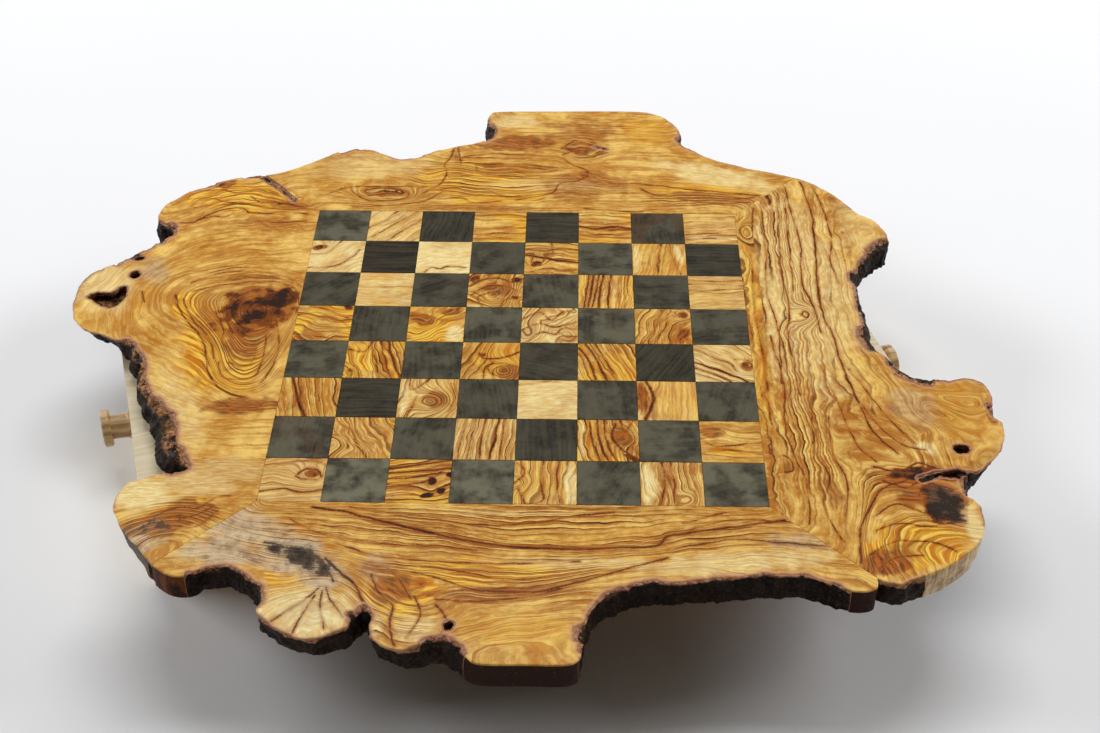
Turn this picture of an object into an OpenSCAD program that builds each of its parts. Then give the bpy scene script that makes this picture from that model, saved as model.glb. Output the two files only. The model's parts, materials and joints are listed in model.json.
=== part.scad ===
// Chess set: a live-edge olive-wood board on a slim base whose two drawers hold the men.
// The origin is under the centre of the playing field, on the plane the base stands on.
// +X runs to the right along the field's front edge and +Z is up.

/* [Playing field] */
// Width of one square
square_w = 38; // [34:0.5:42]
// Thickness of the squares
tile_t = 5; // [3:0.5:8]
// Joint between neighbouring squares
tile_gap = 0.2; // [0.1:0.05:0.6]
// Width of the strip between the field and the right slab
filler_w = 11.4; // [6:0.2:16]

/* [Live-edge slabs] */
// Thickness of the four slabs round the field
slab_t = 18; // [15:0.5:26]
// How far the bark leans out under the sawn top, against the drawn amount
bark_lean = 1; // [0.2:0.1:1.2]
// Height of the bumps on the bark
bark_bumps = 0.7; // [0:0.1:1.2]
// Depth of the bark pockets in the tops of the slabs
pocket_d = 6; // [4:0.5:12]

/* [Base] */
// Length of the base, from one drawer's face to the other's
base_len = 496; // [492:1:540]
// Turn of the base under the board, degrees
base_turn = 16.5; // [10:0.5:22]
// Place of the base's centre to the right of the field's centre
base_x = -10; // [-14:1:2]
// Place of the base's centre behind the field's centre
base_y = 4; // [0:1:14]
// Thickness of the base's long walls
wall_t = 10; // [8:0.5:14]
// Thickness of the wall between the two drawers
divider_t = 8; // [6:0.5:12]
// Thickness of the base's bottom
bottom_t = 6; // [5:0.5:10]
// Thickness of the base's top
top_t = 6; // [5:0.5:10]
// Thickness of the panel that closes the far end of each drawer's bay
end_t = 10; // [6:0.5:16]
// Width of the bay that a drawer slides in
bay_w = 68; // [66:0.5:80]
// Height of the bay that a drawer slides in
bay_h = 50; // [46:0.5:60]

/* [Drawers] */
// Gap round a drawer's face and beside its sides
drawer_gap = 0.6; // [0.4:0.1:1]
// Gap under a drawer
drawer_lift = 0.3; // [0.2:0.05:0.5]
// Gap behind a closed drawer
drawer_stop = 1.5; // [0.6:0.1:3]
// Thickness of a drawer's face
face_t = 12; // [10:0.5:16]
// Depth of the rebates that a face holds its sides in
rebate_d = 6; // [4:0.5:7]
// Thickness of a drawer's sides
side_t = 5; // [4.5:0.1:5.6]
// Height of a drawer's sides
side_h = 43; // [36:0.5:45]
// Thickness of a drawer's rear board
rear_t = 6; // [4:0.5:10]
// Thickness of a drawer's floor
floor_t = 4; // [3:0.5:5]
// Height of the floor above the sides' lower edges
floor_up = 3; // [2:0.5:5]
// Depth of the grooves that hold the floor
groove_d = 2.5; // [1.5:0.1:3]
// Clearance of the floor in its grooves
groove_gap = 0.15; // [0.1:0.05:0.3]

/* [Knobs] */
// Radius of a knob's foot, against the face
knob_foot_r = 11.5; // [10:0.5:15]
// Radius of a knob's neck
knob_neck_r = 8; // [7:0.2:9.8]
// Radius of a knob's cap
knob_cap_r = 12.5; // [10:0.5:15]
// Length of a knob
knob_len = 20.3; // [15:0.1:24]

/* [Screws] */
// Diameter of the screw through a drawer's face into its knob
knob_screw_d = 4; // [3:0.5:5]
// Depth of that screw in the knob
knob_screw_in = 10; // [7:0.5:12]
// Diameter of the screws that hold the base together and the board on it
screw_d = 4; // [3:0.5:4.5]
// Depth of the screws that hold the board, in the board's core
top_screw_in = 9; // [6:0.5:9]
// Distance of the outer ones from the middle one, along the base
top_screw_pitch = 110; // [80:1:120]
// Length of the screws up into the base's walls
bottom_screw_len = 26; // [16:1:36]
// Distance of the outermost of them from the base's ends
bottom_screw_end = 24; // [16:1:40]
// Clearance of a screw in its hole
screw_gap = 0.12; // [0.08:0.02:0.2]

/* [Men] */
// Radius of the king's foot
king_r = 14; // [12.5:0.1:14]
// Height of the king
king_h = 74; // [68:0.5:78]
// Radius of the queen's foot
queen_r = 13.4; // [12:0.1:14]
// Height of the queen
queen_h = 66; // [60:0.5:69]
// Radius of a bishop's foot
bishop_r = 12.6; // [11.5:0.1:13.5]
// Height of a bishop
bishop_h = 58; // [53:0.5:60]
// Radius of a knight's foot
knight_r = 12.6; // [12:0.1:13.5]
// Height of a knight
knight_h = 54; // [50:0.5:56]
// Radius of a rook's foot
rook_r = 12; // [11:0.1:12]
// Height of a rook
rook_h = 44; // [40:0.5:45]
// Radius of a pawn's foot
pawn_r = 10.6; // [9.5:0.1:11.4]
// Height of a pawn
pawn_h = 38; // [34:0.5:39]
// Gap between a drawer's face and the first man in a row
row_gap = 5; // [3:0.5:8]
// Gap between two men that lie in one row, where the drawer is long enough
man_gap = 3.2; // [3:0.1:3.8]
// Gap between the men and the drawer's sides
lane_gap = 0.6; // [0.4:0.1:0.8]
// Gap between a lying man and the drawer's floor
lie_gap = 0.3; // [0.2:0.05:0.4]

/* [Hidden] */
$fn = 64;

cut = 1;
squares = 8;
field_w = squares * square_w;
half = field_w / 2;
base_h = bottom_t + bay_h + top_t;
base_w = 2 * bay_w + divider_t + 2 * wall_t;
drawer_pitch = bay_w + divider_t;
top_z = base_h + slab_t;

// The live edges, from one mitre's tip to the next, counter-clockwise seen from above.
// Each point is [x, y, lean]: lean is how far the bark stands out below the sawn top there,
// 0 is a sawn stretch, and below 0 the edge is undercut by that much. They are drawn round a
// field with these corners, and grow with it.
drawn_field = [[-152, -152], [152, 152]];
grow = field_w / (drawn_field[1][0] - drawn_field[0][0]);
right_edge = [[208, -208, 0], [214, -211, 0], [223, -212, 1], [236, -205, 1], [247, -199, 1],
    [256, -193, 0], [264, -186, 0], [270, -179, -1], [275, -171, -2], [277, -161, -2],
    [277, -151, -1], [274, -143, 0], [269, -140, 0], [271, -134, 2], [271, -128, 2],
    [274, -122, 0], [281, -119, -3], [287, -114, -5], [293, -107, -7], [299, -99, -7],
    [303, -87, -5], [304, -75, -2], [300, -69, 1], [301, -58, 1], [302, -47, 0], [299, -36, 0],
    [292, -31, 0], [279, -32, 1], [265, -31, 2], [254, -28, 3], [246, -22, 4], [240, -11, 5],
    [233, -1, 6], [230, 11, 6], [230, 27, 5], [230, 46, 4], [229, 64, 4], [230, 82, 4],
    [240, 100, 4], [249, 110, 4], [257, 118, 3], [260, 127, 0], [257, 137, 0], [252, 147, 0],
    [243, 154, 1], [236, 164, 2], [229, 177, 2], [216, 191, 1], [207, 198, 0], [201, 201, 0]];
back_edge = [[201, 201, 0], [189, 206, 1], [172, 212, 1], [154, 219, 1], [138, 227, 2],
    [127, 238, 2], [118, 246, 2], [114, 254, 3], [116, 262, 3], [114, 272, 3], [107, 284, 1],
    [96, 292, 0], [84, 295, 0], [47, 295, 0], [8, 294, 0], [-26, 293, 0], [-33, 288, 4],
    [-31, 276, 6], [-29, 265, 6], [-30, 256, 5], [-37, 249, 3], [-50, 243, 2], [-66, 237, 1],
    [-75, 233, 1], [-85, 226, 1], [-97, 223, 1], [-107, 226, 1], [-117, 232, 2],
    [-126, 236, 2], [-136, 237, 1], [-147, 232, 0], [-160, 221, 0], [-173, 211, 0],
    [-185, 203, 0], [-198, 198, 0]];
left_edge = [[-198, 198, 0], [-204, 200, 1], [-212, 197, 1], [-224, 192, 1], [-238, 185, 1],
    [-252, 175, 1], [-262, 163, 1], [-268, 153, 2], [-269, 141, 2], [-265, 131, 2],
    [-256, 126, 1], [-255, 121, 1], [-261, 114, 2], [-267, 105, 2], [-275, 99, 2],
    [-282, 92, 1], [-289, 83, 1], [-298, 76, 0], [-305, 66, 0], [-307, 52, 0], [-307, 38, -3],
    [-304, 26, -8], [-299, 15, -12], [-291, 8, -12], [-281, 5, -10], [-270, -1, -5],
    [-258, -6, 3], [-252, -16, 7], [-245, -27, 6], [-244, -38, 6], [-237, -54, 7],
    [-226, -68, 10], [-217, -81, 13], [-213, -94, 14], [-209, -106, 13], [-204, -113, 9],
    [-201, -119, 4], [-199, -124, 0], [-210, -128, 1], [-222, -133, 1], [-231, -137, 0],
    [-236, -148, 0], [-236, -158, -2], [-232, -168, -3], [-226, -178, -3], [-218, -187, -2],
    [-210, -197, -1], [-204, -204, 0]];
front_edge = [[-204, -204, 0], [-195, -211, 0], [-186, -213, 0], [-178, -210, 1],
    [-170, -206, 1], [-158, -207, 1], [-148, -213, 1], [-141, -221, 1], [-139, -229, 1],
    [-139, -238, -1], [-130, -248, -3], [-119, -256, -4], [-107, -258, -4], [-96, -254, -2],
    [-88, -249, 1], [-85, -241, 3], [-80, -234, 6], [-75, -241, 2], [-75, -250, 0],
    [-72, -258, -3], [-66, -263, -4], [-58, -265, -3], [-50, -262, 1], [-42, -258, 5],
    [-35, -255, 9], [-28, -260, 5], [-20, -270, 1], [-13, -274, 0], [12, -274, 0],
    [31, -274, 0], [39, -271, 0], [42, -263, 0], [43, -250, 1], [45, -238, 2], [51, -229, 2],
    [60, -221, 1], [71, -216, 1], [84, -214, 1], [102, -214, 0], [119, -212, 0],
    [136, -208, 1], [154, -207, 1], [170, -208, 1], [180, -213, 0], [190, -217, 0],
    [200, -218, 0], [207, -215, 0], [208, -208, 0]];

// The slabs' cross-section at their live edges: [share of the thickness, share of the lean]
edge_levels = [[1, 0], [0.8, 0.55], [0.42, 1], [0, 0.75]];

// Bark pockets in the slabs' tops: a drawn outline, or [x, y, length, width, turn] of an oval
long_pocket = [[-299, 45], [-293, 50], [-283, 50], [-279, 56], [-274, 57], [-272, 47],
    [-275, 37], [-281, 33], [-288, 36], [-294, 41]];
slot_pocket = [[254, -122], [260, -119], [268, -117], [273, -119], [273, -123], [263, -125]];
left_ovals = [[-271, 71, 9, 8, 90], [-272, 90, 8, 5, 10]];
right_ovals = [[274, -99, 11, 9, 0]];
front_ovals = [[-32, -247, 7, 6, 60]];

function catmull(a, b, c, d, t) =
    0.5 * (2 * b + (c - a) * t + (2 * a - 5 * b + 4 * c - d) * t * t
        + (3 * b - a - 3 * c + d) * t * t * t);
function curve(p, steps) = concat(
    [for (i = [0:len(p) - 2], s = [0:steps - 1])
        catmull(p[max(i - 1, 0)], p[i], p[i + 1], p[min(i + 2, len(p) - 1)], s / steps)],
    [p[len(p) - 1]]);
function loop(p, steps) = let (n = len(p))
    [for (i = [0:n - 1], s = [0:steps - 1])
        catmull(p[(i + n - 1) % n], p[i], p[(i + 1) % n], p[(i + 2) % n], s / steps)];
function oval(o, n = 14) =
    [for (i = [0:n - 1]) let (a = i * 360 / n, x = o[2] / 2 * cos(a), y = o[3] / 2 * sin(a))
        [o[0] + x * cos(o[4]) - y * sin(o[4]), o[1] + x * sin(o[4]) + y * cos(o[4])]];
function wave(i, k) = 0.6 * sin(i * 97 + k * 131) + 0.4 * sin(i * 41 + k * 57);
function outward(p, i) =
    let (a = p[max(i - 1, 0)], b = p[min(i + 1, len(p) - 1)], d = [b[0] - a[0], b[1] - a[1]])
        [d[1], -d[0]] / norm(d);
function lean_at(p, i, k) = (i == 0 || i == len(p) - 1) ? 0 :
    let (lean = grow * p[i][2] * bark_lean)
        lean * (lean < 0 ? 1 - edge_levels[k][0] : edge_levels[k][1])
            + min(1, abs(lean)) * bark_bumps * wave(i, k);
function ring(p, inner, k) = let (z = base_h + slab_t * edge_levels[k][0])
    concat([for (i = [0:len(p) - 1]) let (n = outward(p, i), d = lean_at(p, i, k))
            [grow * p[i][0] + n[0] * d, grow * p[i][1] + n[1] * d, z]],
        [for (q = inner) [q[0], q[1], z]]);

// The triangles that fill an outline, cut off it one ear after another, as indices
function turn(a, b, c) = (b[0] - a[0]) * (c[1] - a[1]) - (b[1] - a[1]) * (c[0] - a[0]);
function holds(a, b, c, q) = turn(a, b, q) >= 0 && turn(b, c, q) >= 0 && turn(c, a, q) >= 0;
function corner(ids, i) = let (n = len(ids)) [ids[(i + n - 1) % n], ids[i % n], ids[(i + 1) % n]];
function is_ear(p, ids, c) = turn(p[c[0]], p[c[1]], p[c[2]]) > 0
    && len([for (j = ids) if (j != c[0] && j != c[1] && j != c[2]
        && holds(p[c[0]], p[c[1]], p[c[2]], p[j])) j]) == 0;
function next_ear(p, ids, i) = is_ear(p, ids, corner(ids, i)) ? i : next_ear(p, ids, i + 1);
function fill(p, ids, from = 0, done = []) = len(ids) == 3 ? concat(done, [ids]) :
    let (i = next_ear(p, ids, from), c = corner(ids, i))
        fill(p, [for (j = ids) if (j != c[1]) j], i + 1, concat(done, [c]));

// One slab: its live edge and its inner corners, lofted down through the edge's levels
module slab_body(edge, inner) {
    p = curve(edge, 3);
    n = len(p) + len(inner);
    last = len(edge_levels) - 1;
    rings = [for (k = [0:last]) ring(p, inner, k)];
    order = [for (i = [0:n - 1]) i];
    top = [for (t = fill(rings[0], order)) [t[2], t[1], t[0]]];
    bottom = [for (t = fill(rings[last], order)) [for (i = t) last * n + i]];
    sides = [for (k = [0:last - 1], i = [0:n - 1])
        let (a = k * n + i, b = k * n + (i + 1) % n) each [[a, b, b + n], [a, b + n, a + n]]];
    polyhedron([for (r = rings) each r], concat(top, bottom, sides), convexity = 10);
}
module pocket(outline) {
    translate([0, 0, top_z - pocket_d])
        linear_extrude(pocket_d + cut) polygon([for (q = outline) grow * q]);
}

module left_slab() {
    color("#c99a52") difference() {
        slab_body(left_edge, [[-half, -half], [-half, half]]);
        pocket(loop(long_pocket, 2));
        for (o = left_ovals) pocket(oval(o));
    }
}
module back_slab() {
    color("#c08a45") slab_body(back_edge, [[-half, half], [half, half]]);
}
module right_slab() {
    inner = half + filler_w;
    color("#cf9f58") difference() {
        slab_body(right_edge, [[inner, inner], [inner, -inner]]);
        pocket(loop(slot_pocket, 2));
        for (o = right_ovals) pocket(oval(o));
    }
}
module front_slab() {
    color("#c79350") difference() {
        slab_body(front_edge, [[half, -half], [-half, -half]]);
        for (o = front_ovals) pocket(oval(o));
    }
}
module filler_strip() {
    outer = half + filler_w;
    color("#d9ae62") translate([0, 0, base_h]) linear_extrude(slab_t)
        polygon([[half, -half], [outer, -outer], [outer, outer], [half, half]]);
}

// The squares: dark where column and row, counted from the front left, add up to an odd number
module squares_of(odd) {
    side = square_w - tile_gap;
    for (col = [0:squares - 1], row = [0:squares - 1])
        if ((col + row) % 2 == odd)
            translate([col * square_w - half + tile_gap / 2, row * square_w - half + tile_gap / 2,
                top_z - tile_t]) cube([side, side, tile_t]);
}
module light_squares() { color("#dcb067") squares_of(0); }
module dark_squares() { color("#403e3a") squares_of(1); }

// The screws: a countersunk head at z = 0 and a point upwards, and the hole for one
screw_head_r = screw_d;
screw_tip = 4;
module countersunk(len, gap = 0) {
    shank = screw_d / 2 + gap;
    head = screw_head_r + gap;
    rotate_extrude() polygon(gap == 0
        ? [[0, 0], [head, 0], [shank, head - shank], [shank, len - screw_tip], [0, len]]
        : [[0, -cut], [head, -cut], [head, 0], [shank, head - shank], [shank, len + gap],
            [0, len + gap]]);
}
top_screw_z = bottom_t + bay_h;
top_screw_len = top_t + top_screw_in;
module top_screw_places() {
    for (x = [-top_screw_pitch, 0, top_screw_pitch], side = [-1, 1])
        on_base() translate([x, side * drawer_pitch / 2, top_screw_z]) children();
}
wall_y = base_w / 2 - wall_t / 2;
bottom_screw_x = base_len / 2 - bottom_screw_end;
module bottom_screw_places() {
    for (y = [-wall_y, 0, wall_y], x = [-1, -1 / 3, 1 / 3, 1])
        on_base() translate([x * bottom_screw_x, y, 0]) children();
}

module board_core() {
    color("#b98f5c") difference() {
        translate([-half, -half, base_h]) cube([field_w, field_w, slab_t - tile_t]);
        top_screw_places() countersunk(top_screw_len, screw_gap);
    }
}

// The base, in its own frame: x along the drawers, y across them
module on_base() { translate([base_x, base_y, 0]) rotate(base_turn) children(); }
module base_plate(z, thickness) {
    on_base() translate([-base_len / 2, -base_w / 2, z]) cube([base_len, base_w, thickness]);
}
module base_wall(y, thickness) {
    on_base() translate([-base_len / 2, y, bottom_t]) cube([base_len, thickness, bay_h]);
}
module base_top() {
    color("#e8dcc0") difference() {
        base_plate(bottom_t + bay_h, top_t);
        top_screw_places() countersunk(top_screw_len, screw_gap);
    }
}
module base_bottom() {
    color("#dccca8") difference() {
        base_plate(0, bottom_t);
        bottom_screw_places() countersunk(bottom_screw_len, screw_gap);
    }
}
module drilled_wall(y, thickness) {
    color("#e2d3b0") difference() {
        base_wall(y, thickness);
        bottom_screw_places() countersunk(bottom_screw_len, screw_gap);
    }
}
module front_wall() { drilled_wall(-base_w / 2, wall_t); }
module back_wall() { drilled_wall(base_w / 2 - wall_t, wall_t); }
module divider() { drilled_wall(-divider_t / 2, divider_t); }
module end_panel(end) {
    color("#e6d8b6") on_base() rotate(end < 0 ? 180 : 0)
        translate([base_len / 2 - end_t, divider_t / 2, bottom_t]) cube([end_t, bay_w, bay_h]);
}
module left_end_panel() { end_panel(-1); }
module right_end_panel() { end_panel(1); }
module top_screws() {
    color("#8d8f92") top_screw_places() countersunk(top_screw_len - screw_gap);
}
module bottom_screws() {
    color("#8d8f92") bottom_screw_places() countersunk(bottom_screw_len - screw_gap);
}

// A drawer, in its own frame: x runs in from the face, y across, z up from the bay's bottom.
// side is -1 for the drawer on the left and 1 for the one on the right, which is the same
// drawer turned half round.
module in_drawer(side) {
    on_base() rotate(side < 0 ? 0 : 180)
        translate([-base_len / 2, drawer_pitch / 2, bottom_t]) children();
}
drawer_len = base_len - end_t - drawer_stop;
drawer_w = bay_w - 2 * drawer_gap;
inner_w = drawer_w - 2 * side_t;
side_top = drawer_lift + side_h;
floor_z = drawer_lift + floor_up;
floor_top = floor_z + floor_t;
knob_z = bay_h / 2;

module drawer_face(side) {
    color("#e4d5b0") in_drawer(side) difference() {
        translate([0, -drawer_w / 2, drawer_gap])
            cube([face_t, drawer_w, bay_h - 2 * drawer_gap]);
        for (y = [-drawer_w / 2 - cut, drawer_w / 2 - side_t])
            translate([face_t - rebate_d, y, 0])
                cube([rebate_d + cut, side_t + cut, side_top]);
        translate([face_t - groove_d, -drawer_w / 2, floor_z - groove_gap])
            cube([groove_d + cut, drawer_w, floor_t + 2 * groove_gap]);
        translate([-cut, 0, knob_z]) rotate([0, 90, 0])
            cylinder(r = knob_screw_d / 2 + screw_gap, h = face_t + 2 * cut);
    }
}
// hand is 1 for the side next to the base's long wall and -1 for the one next to the divider
module drawer_side(side, hand) {
    color("#e9ddbe") in_drawer(side) mirror([0, hand < 0 ? 1 : 0, 0]) difference() {
        translate([face_t - rebate_d, inner_w / 2, drawer_lift])
            cube([drawer_len - face_t + rebate_d, side_t, side_h]);
        translate([0, inner_w / 2 - cut, floor_z - groove_gap])
            cube([drawer_len + cut, groove_d + cut, floor_t + 2 * groove_gap]);
    }
}
module drawer_rear(side) {
    color("#e3d4ae") in_drawer(side)
        translate([drawer_len - rear_t, -inner_w / 2, floor_top + groove_gap])
            cube([rear_t, inner_w, side_top - floor_top - groove_gap - floor_up]);
}
module drawer_floor(side) {
    width = inner_w + 2 * (groove_d - groove_gap);
    front = face_t - groove_d + groove_gap;
    color("#d8c79c") in_drawer(side) translate([front, -width / 2, floor_z])
        cube([drawer_len - front, width, floor_t]);
}

// The knob, along its own axis from the face outwards
cap_t = 5;
cap_edge = 0.8;
cap_crown = 0.6;
cap_step = 0.2;
foot_edge = 1.5;
foot_ease = 0.4;
neck_end = knob_len - cap_t - cap_edge;
module knob(side) {
    r = [knob_foot_r, knob_neck_r, knob_cap_r];
    waist = curve([[r[0], foot_edge], [r[0] - 0.6 * (r[0] - r[1]), 0.18 * neck_end],
        [r[1] + 0.06 * (r[0] - r[1]), 0.45 * neck_end], [r[1], neck_end]], 4);
    color("#d9c08c") in_drawer(side) translate([0, 0, knob_z]) rotate([0, -90, 0])
        difference() {
            rotate_extrude() polygon(concat([[0, 0], [r[0] - foot_ease, 0], [r[0], foot_ease]],
                waist, [[r[2] - cap_edge, neck_end + cap_step],
                    [r[2], neck_end + cap_step + cap_edge], [r[2], knob_len - cap_edge],
                    [r[2] - cap_edge, knob_len], [0, knob_len + cap_crown]]));
            translate([0, 0, -cut]) cylinder(r = knob_screw_d / 2 + screw_gap,
                h = knob_screw_in + screw_gap + cut);
        }
}
module knob_screw(side) {
    r = knob_screw_d / 2;
    head_r = 1.9 * r;
    head_t = 1.2 * r;
    color("#9a9a98") in_drawer(side) translate([0, 0, knob_z]) rotate([0, -90, 0])
        rotate_extrude() polygon([[0, -face_t - head_t], [0.6 * head_r, -face_t - head_t],
            [head_r, -face_t - 0.5 * head_t], [head_r, -face_t], [r, -face_t],
            [r, knob_screw_in - 0.5 * r], [0.5 * r, knob_screw_in], [0, knob_screw_in]]);
}

// The men's turned profiles, as [radius, height] from the foot up
foot_band = 2.8;
function foot(r) = [[0, 0], [r - 0.6, 0], [r, 0.6], [r, foot_band], [0.93 * r, 3.8],
    [0.8 * r, 4.6], [0.8 * r, 5.4], [0.72 * r, 6.2]];
stem_z = 6.2;
function stem(r, neck, top) = [for (i = [1:8]) let (t = i / 8)
    [neck + (0.72 * r - neck) * pow(1 - t, 2.2), stem_z + (top - stem_z) * t]];
function collar(r, z) = [[0.82 * r, z], [r, z + 0.7], [r, z + 1.5], [0.8 * r, z + 2.2]];
function ball(r, z, from, to, n) =
    [for (i = [0:n]) let (a = from + (to - from) * i / n) [r * cos(a), z + r * sin(a)]];
function egg(r, z, up, from, to, n) =
    [for (i = [0:n]) let (a = from + (to - from) * i / n) [r * cos(a), z + up * sin(a)]];

pawn_head = 0.54 * pawn_r;
pawn_profile = concat(foot(pawn_r), stem(pawn_r, 0.32 * pawn_r, pawn_h - 2 * pawn_head - 1.8),
    collar(0.6 * pawn_r, pawn_h - 2 * pawn_head - 1.6),
    ball(pawn_head, pawn_h - pawn_head, -58, 84, 8), [[0, pawn_h]]);
rook_top = 0.74 * rook_h;
rook_profile = concat(foot(rook_r), stem(rook_r, 0.58 * rook_r, rook_top - 2.6),
    collar(0.78 * rook_r, rook_top - 2.4),
    [[0.64 * rook_r, rook_top], [0.72 * rook_r, rook_top + 2.4], [0.74 * rook_r, rook_h - 0.6],
        [0.7 * rook_r, rook_h], [0, rook_h]]);
bishop_neck = 0.56 * bishop_h;
bishop_ball = 0.15 * bishop_r;
bishop_egg = (bishop_h - 2 * bishop_ball - bishop_neck - 2) / 2;
bishop_mid = bishop_neck + 2 + bishop_egg;
bishop_profile = concat(foot(bishop_r), stem(bishop_r, 0.3 * bishop_r, bishop_neck - 2.4),
    collar(0.62 * bishop_r, bishop_neck - 2.2), collar(0.46 * bishop_r, bishop_neck),
    egg(0.5 * bishop_r, bishop_mid, bishop_egg, -50, 76, 9),
    ball(bishop_ball, bishop_h - bishop_ball, -50, 80, 5), [[0, bishop_h]]);
queen_neck = 0.58 * queen_h;
queen_ball = 0.17 * queen_r;
queen_rim = queen_h - 2 * queen_ball - 2;
queen_profile = concat(foot(queen_r), stem(queen_r, 0.3 * queen_r, queen_neck - 2.4),
    collar(0.64 * queen_r, queen_neck - 2.2), collar(0.5 * queen_r, queen_neck),
    curve([[0.34 * queen_r, queen_neck + 2.6], [0.37 * queen_r, queen_neck + 8],
        [0.48 * queen_r, queen_rim - 5], [0.62 * queen_r, queen_rim]], 3),
    [[0.5 * queen_r, queen_rim], [0.36 * queen_r, queen_rim + 1.4],
        [0.16 * queen_r, queen_rim + 2.1]],
    ball(queen_ball, queen_h - queen_ball, -50, 80, 5), [[0, queen_h]]);
king_neck = 0.57 * king_h;
cross_h = 0.12 * king_h;
king_rim = king_h - cross_h - 2.6;
king_profile = concat(foot(king_r), stem(king_r, 0.33 * king_r, king_neck - 2.4),
    collar(0.66 * king_r, king_neck - 2.2), collar(0.52 * king_r, king_neck),
    curve([[0.37 * king_r, king_neck + 2.6], [0.4 * king_r, king_neck + 7],
        [0.52 * king_r, king_rim - 4], [0.6 * king_r, king_rim]], 3),
    [[0.6 * king_r, king_rim + 0.8], [0.46 * king_r, king_rim + 1.4],
        [0.2 * king_r, king_rim + 2.6], [0, king_rim + 3]]);
knight_foot_z = 0.22 * knight_h;
knight_profile = concat(foot(knight_r), [[0.62 * knight_r, 0.16 * knight_h],
    [0.66 * knight_r, knight_foot_z - 1.6], [0.74 * knight_r, knight_foot_z - 0.9],
    [0.74 * knight_r, knight_foot_z], [0, knight_foot_z]]);

module turned(profile) { rotate_extrude() polygon(profile); }
module pawn() { turned(pawn_profile); }
module rook() {
    bore_r = 0.46 * rook_r;
    bore_d = 4.4;
    notch_w = 2.6;
    notch_d = 3;
    difference() {
        turned(rook_profile);
        translate([0, 0, rook_h - bore_d]) cylinder(r = bore_r, h = bore_d + cut);
        for (a = [0:60:120]) rotate(a) translate([-rook_r, -notch_w / 2, rook_h - notch_d])
            cube([2 * rook_r, notch_w, notch_d + cut]);
    }
}
module bishop() {
    cleft_w = 1.4;
    cleft_turn = 40;
    difference() {
        turned(bishop_profile);
        translate([0.24 * bishop_r, 0, bishop_mid + 1]) rotate([0, cleft_turn, 0])
            translate([-cleft_w / 2, -bishop_r, 0]) cube([cleft_w, 2 * bishop_r, 2 * bishop_egg]);
    }
}
module queen() {
    scallops = 8;
    scallop_r = 1.7;
    difference() {
        turned(queen_profile);
        for (i = [0:scallops - 1]) rotate(i * 360 / scallops)
            translate([0.62 * queen_r, 0, queen_rim + 0.4]) sphere(r = scallop_r);
    }
}
module king() {
    cross_t = 2.6;
    arm = 0.5 * cross_h;
    flare = 1.75;
    waist = 0.9;
    root = 1.6;
    turned(king_profile);
    translate([0, cross_t / 2, king_h - cross_h]) rotate([90, 0, 0])
        linear_extrude(cross_t) union() {
            polygon([[-flare, -root], [flare, -root], [waist, arm], [flare, cross_h],
                [-flare, cross_h], [-waist, arm]]);
            polygon([[-arm, arm - flare], [0, arm - waist], [arm, arm - flare],
                [arm, arm + flare], [0, arm + waist], [-arm, arm + flare]]);
        }
}

// The horse's head: stations up the neck and down to the muzzle, each [forward, height, tilt
// of the section, half depth, half width], in shares of the knight's radius and height
horse = [[-0.04, 0.21, 0, 0.64, 0.56], [-0.13, 0.31, -4, 0.6, 0.5], [-0.2, 0.43, 0, 0.56, 0.45],
    [-0.22, 0.56, 8, 0.55, 0.42], [-0.16, 0.68, 22, 0.55, 0.4], [0, 0.78, 48, 0.52, 0.39],
    [0.25, 0.825, 80, 0.47, 0.36], [0.5, 0.795, 112, 0.38, 0.31], [0.68, 0.735, 126, 0.31, 0.26],
    [0.8, 0.69, 128, 0.28, 0.24], [0.85, 0.67, 128, 0.18, 0.15]];
horse_points = 12;
mane_cut = 0.07;
function horse_ring(s, i) = [for (j = [0:horse_points - 1])
    let (a = j * 360 / horse_points, c = cos(a), d = sin(a),
        crest = c < -0.4 && s[1] > 0.28 && s[2] < 60 ? 1 + mane_cut * (i % 2 == 0 ? 1 : -1) : 1,
        u = sign(c) * pow(abs(c), 0.85) * s[3] * knight_r * crest,
        v = sign(d) * pow(abs(d), 0.85) * s[4] * knight_r * (c < -0.8 ? 0.7 : 1))
        [s[0] * knight_r + u * cos(s[2]), v, s[1] * knight_h - u * sin(s[2])]];
module horse_head() {
    s = curve(horse, 3);
    m = horse_points;
    last = len(s) - 1;
    sides = [for (i = [0:last - 1], j = [0:m - 1])
        let (a = i * m + j, b = i * m + (j + 1) % m)
            each [[a, a + m, b + m], [a, b + m, b]]];
    polyhedron([for (i = [0:last]) each horse_ring(s[i], i)],
        concat([[for (j = [0:m - 1]) j]], [[for (j = [0:m - 1]) last * m + m - 1 - j]], sides),
        convexity = 6);
}
module knight() {
    ear_r = 2.1;
    ear_tip = 0.4;
    eye_r = 1;
    turned(knight_profile);
    horse_head();
    for (side = [-1, 1]) {
        translate([-0.3 * knight_r, side * 0.2 * knight_r, 0.86 * knight_h])
            rotate([-8 * side, -14, 0]) cylinder(r1 = ear_r, r2 = ear_tip, h = 0.14 * knight_h);
        translate([0.24 * knight_r, side * 0.31 * knight_r, 0.85 * knight_h]) sphere(r = eye_r);
    }
}

// A man lies on the rim of its foot and on its widest part above that
function lie_slope(p, r) = min([for (q = p) if (q[1] > foot_band + 2)
    (r - q[0]) / (q[1] - foot_band)]);
knight_reach = [[0.56 * knight_r, 0.21 * knight_h], [0.45 * knight_r, 0.43 * knight_h],
    [0.42 * knight_r, 0.56 * knight_h], [0.4 * knight_r, 0.97 * knight_h]];
module lying(p, r, x, y) {
    a = atan(lie_slope(p, r));
    up = r * cos(a) + foot_band * sin(a);
    translate([x, y, floor_top + lie_gap + up]) rotate([0, 90 + a, 0]) children();
}

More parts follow.
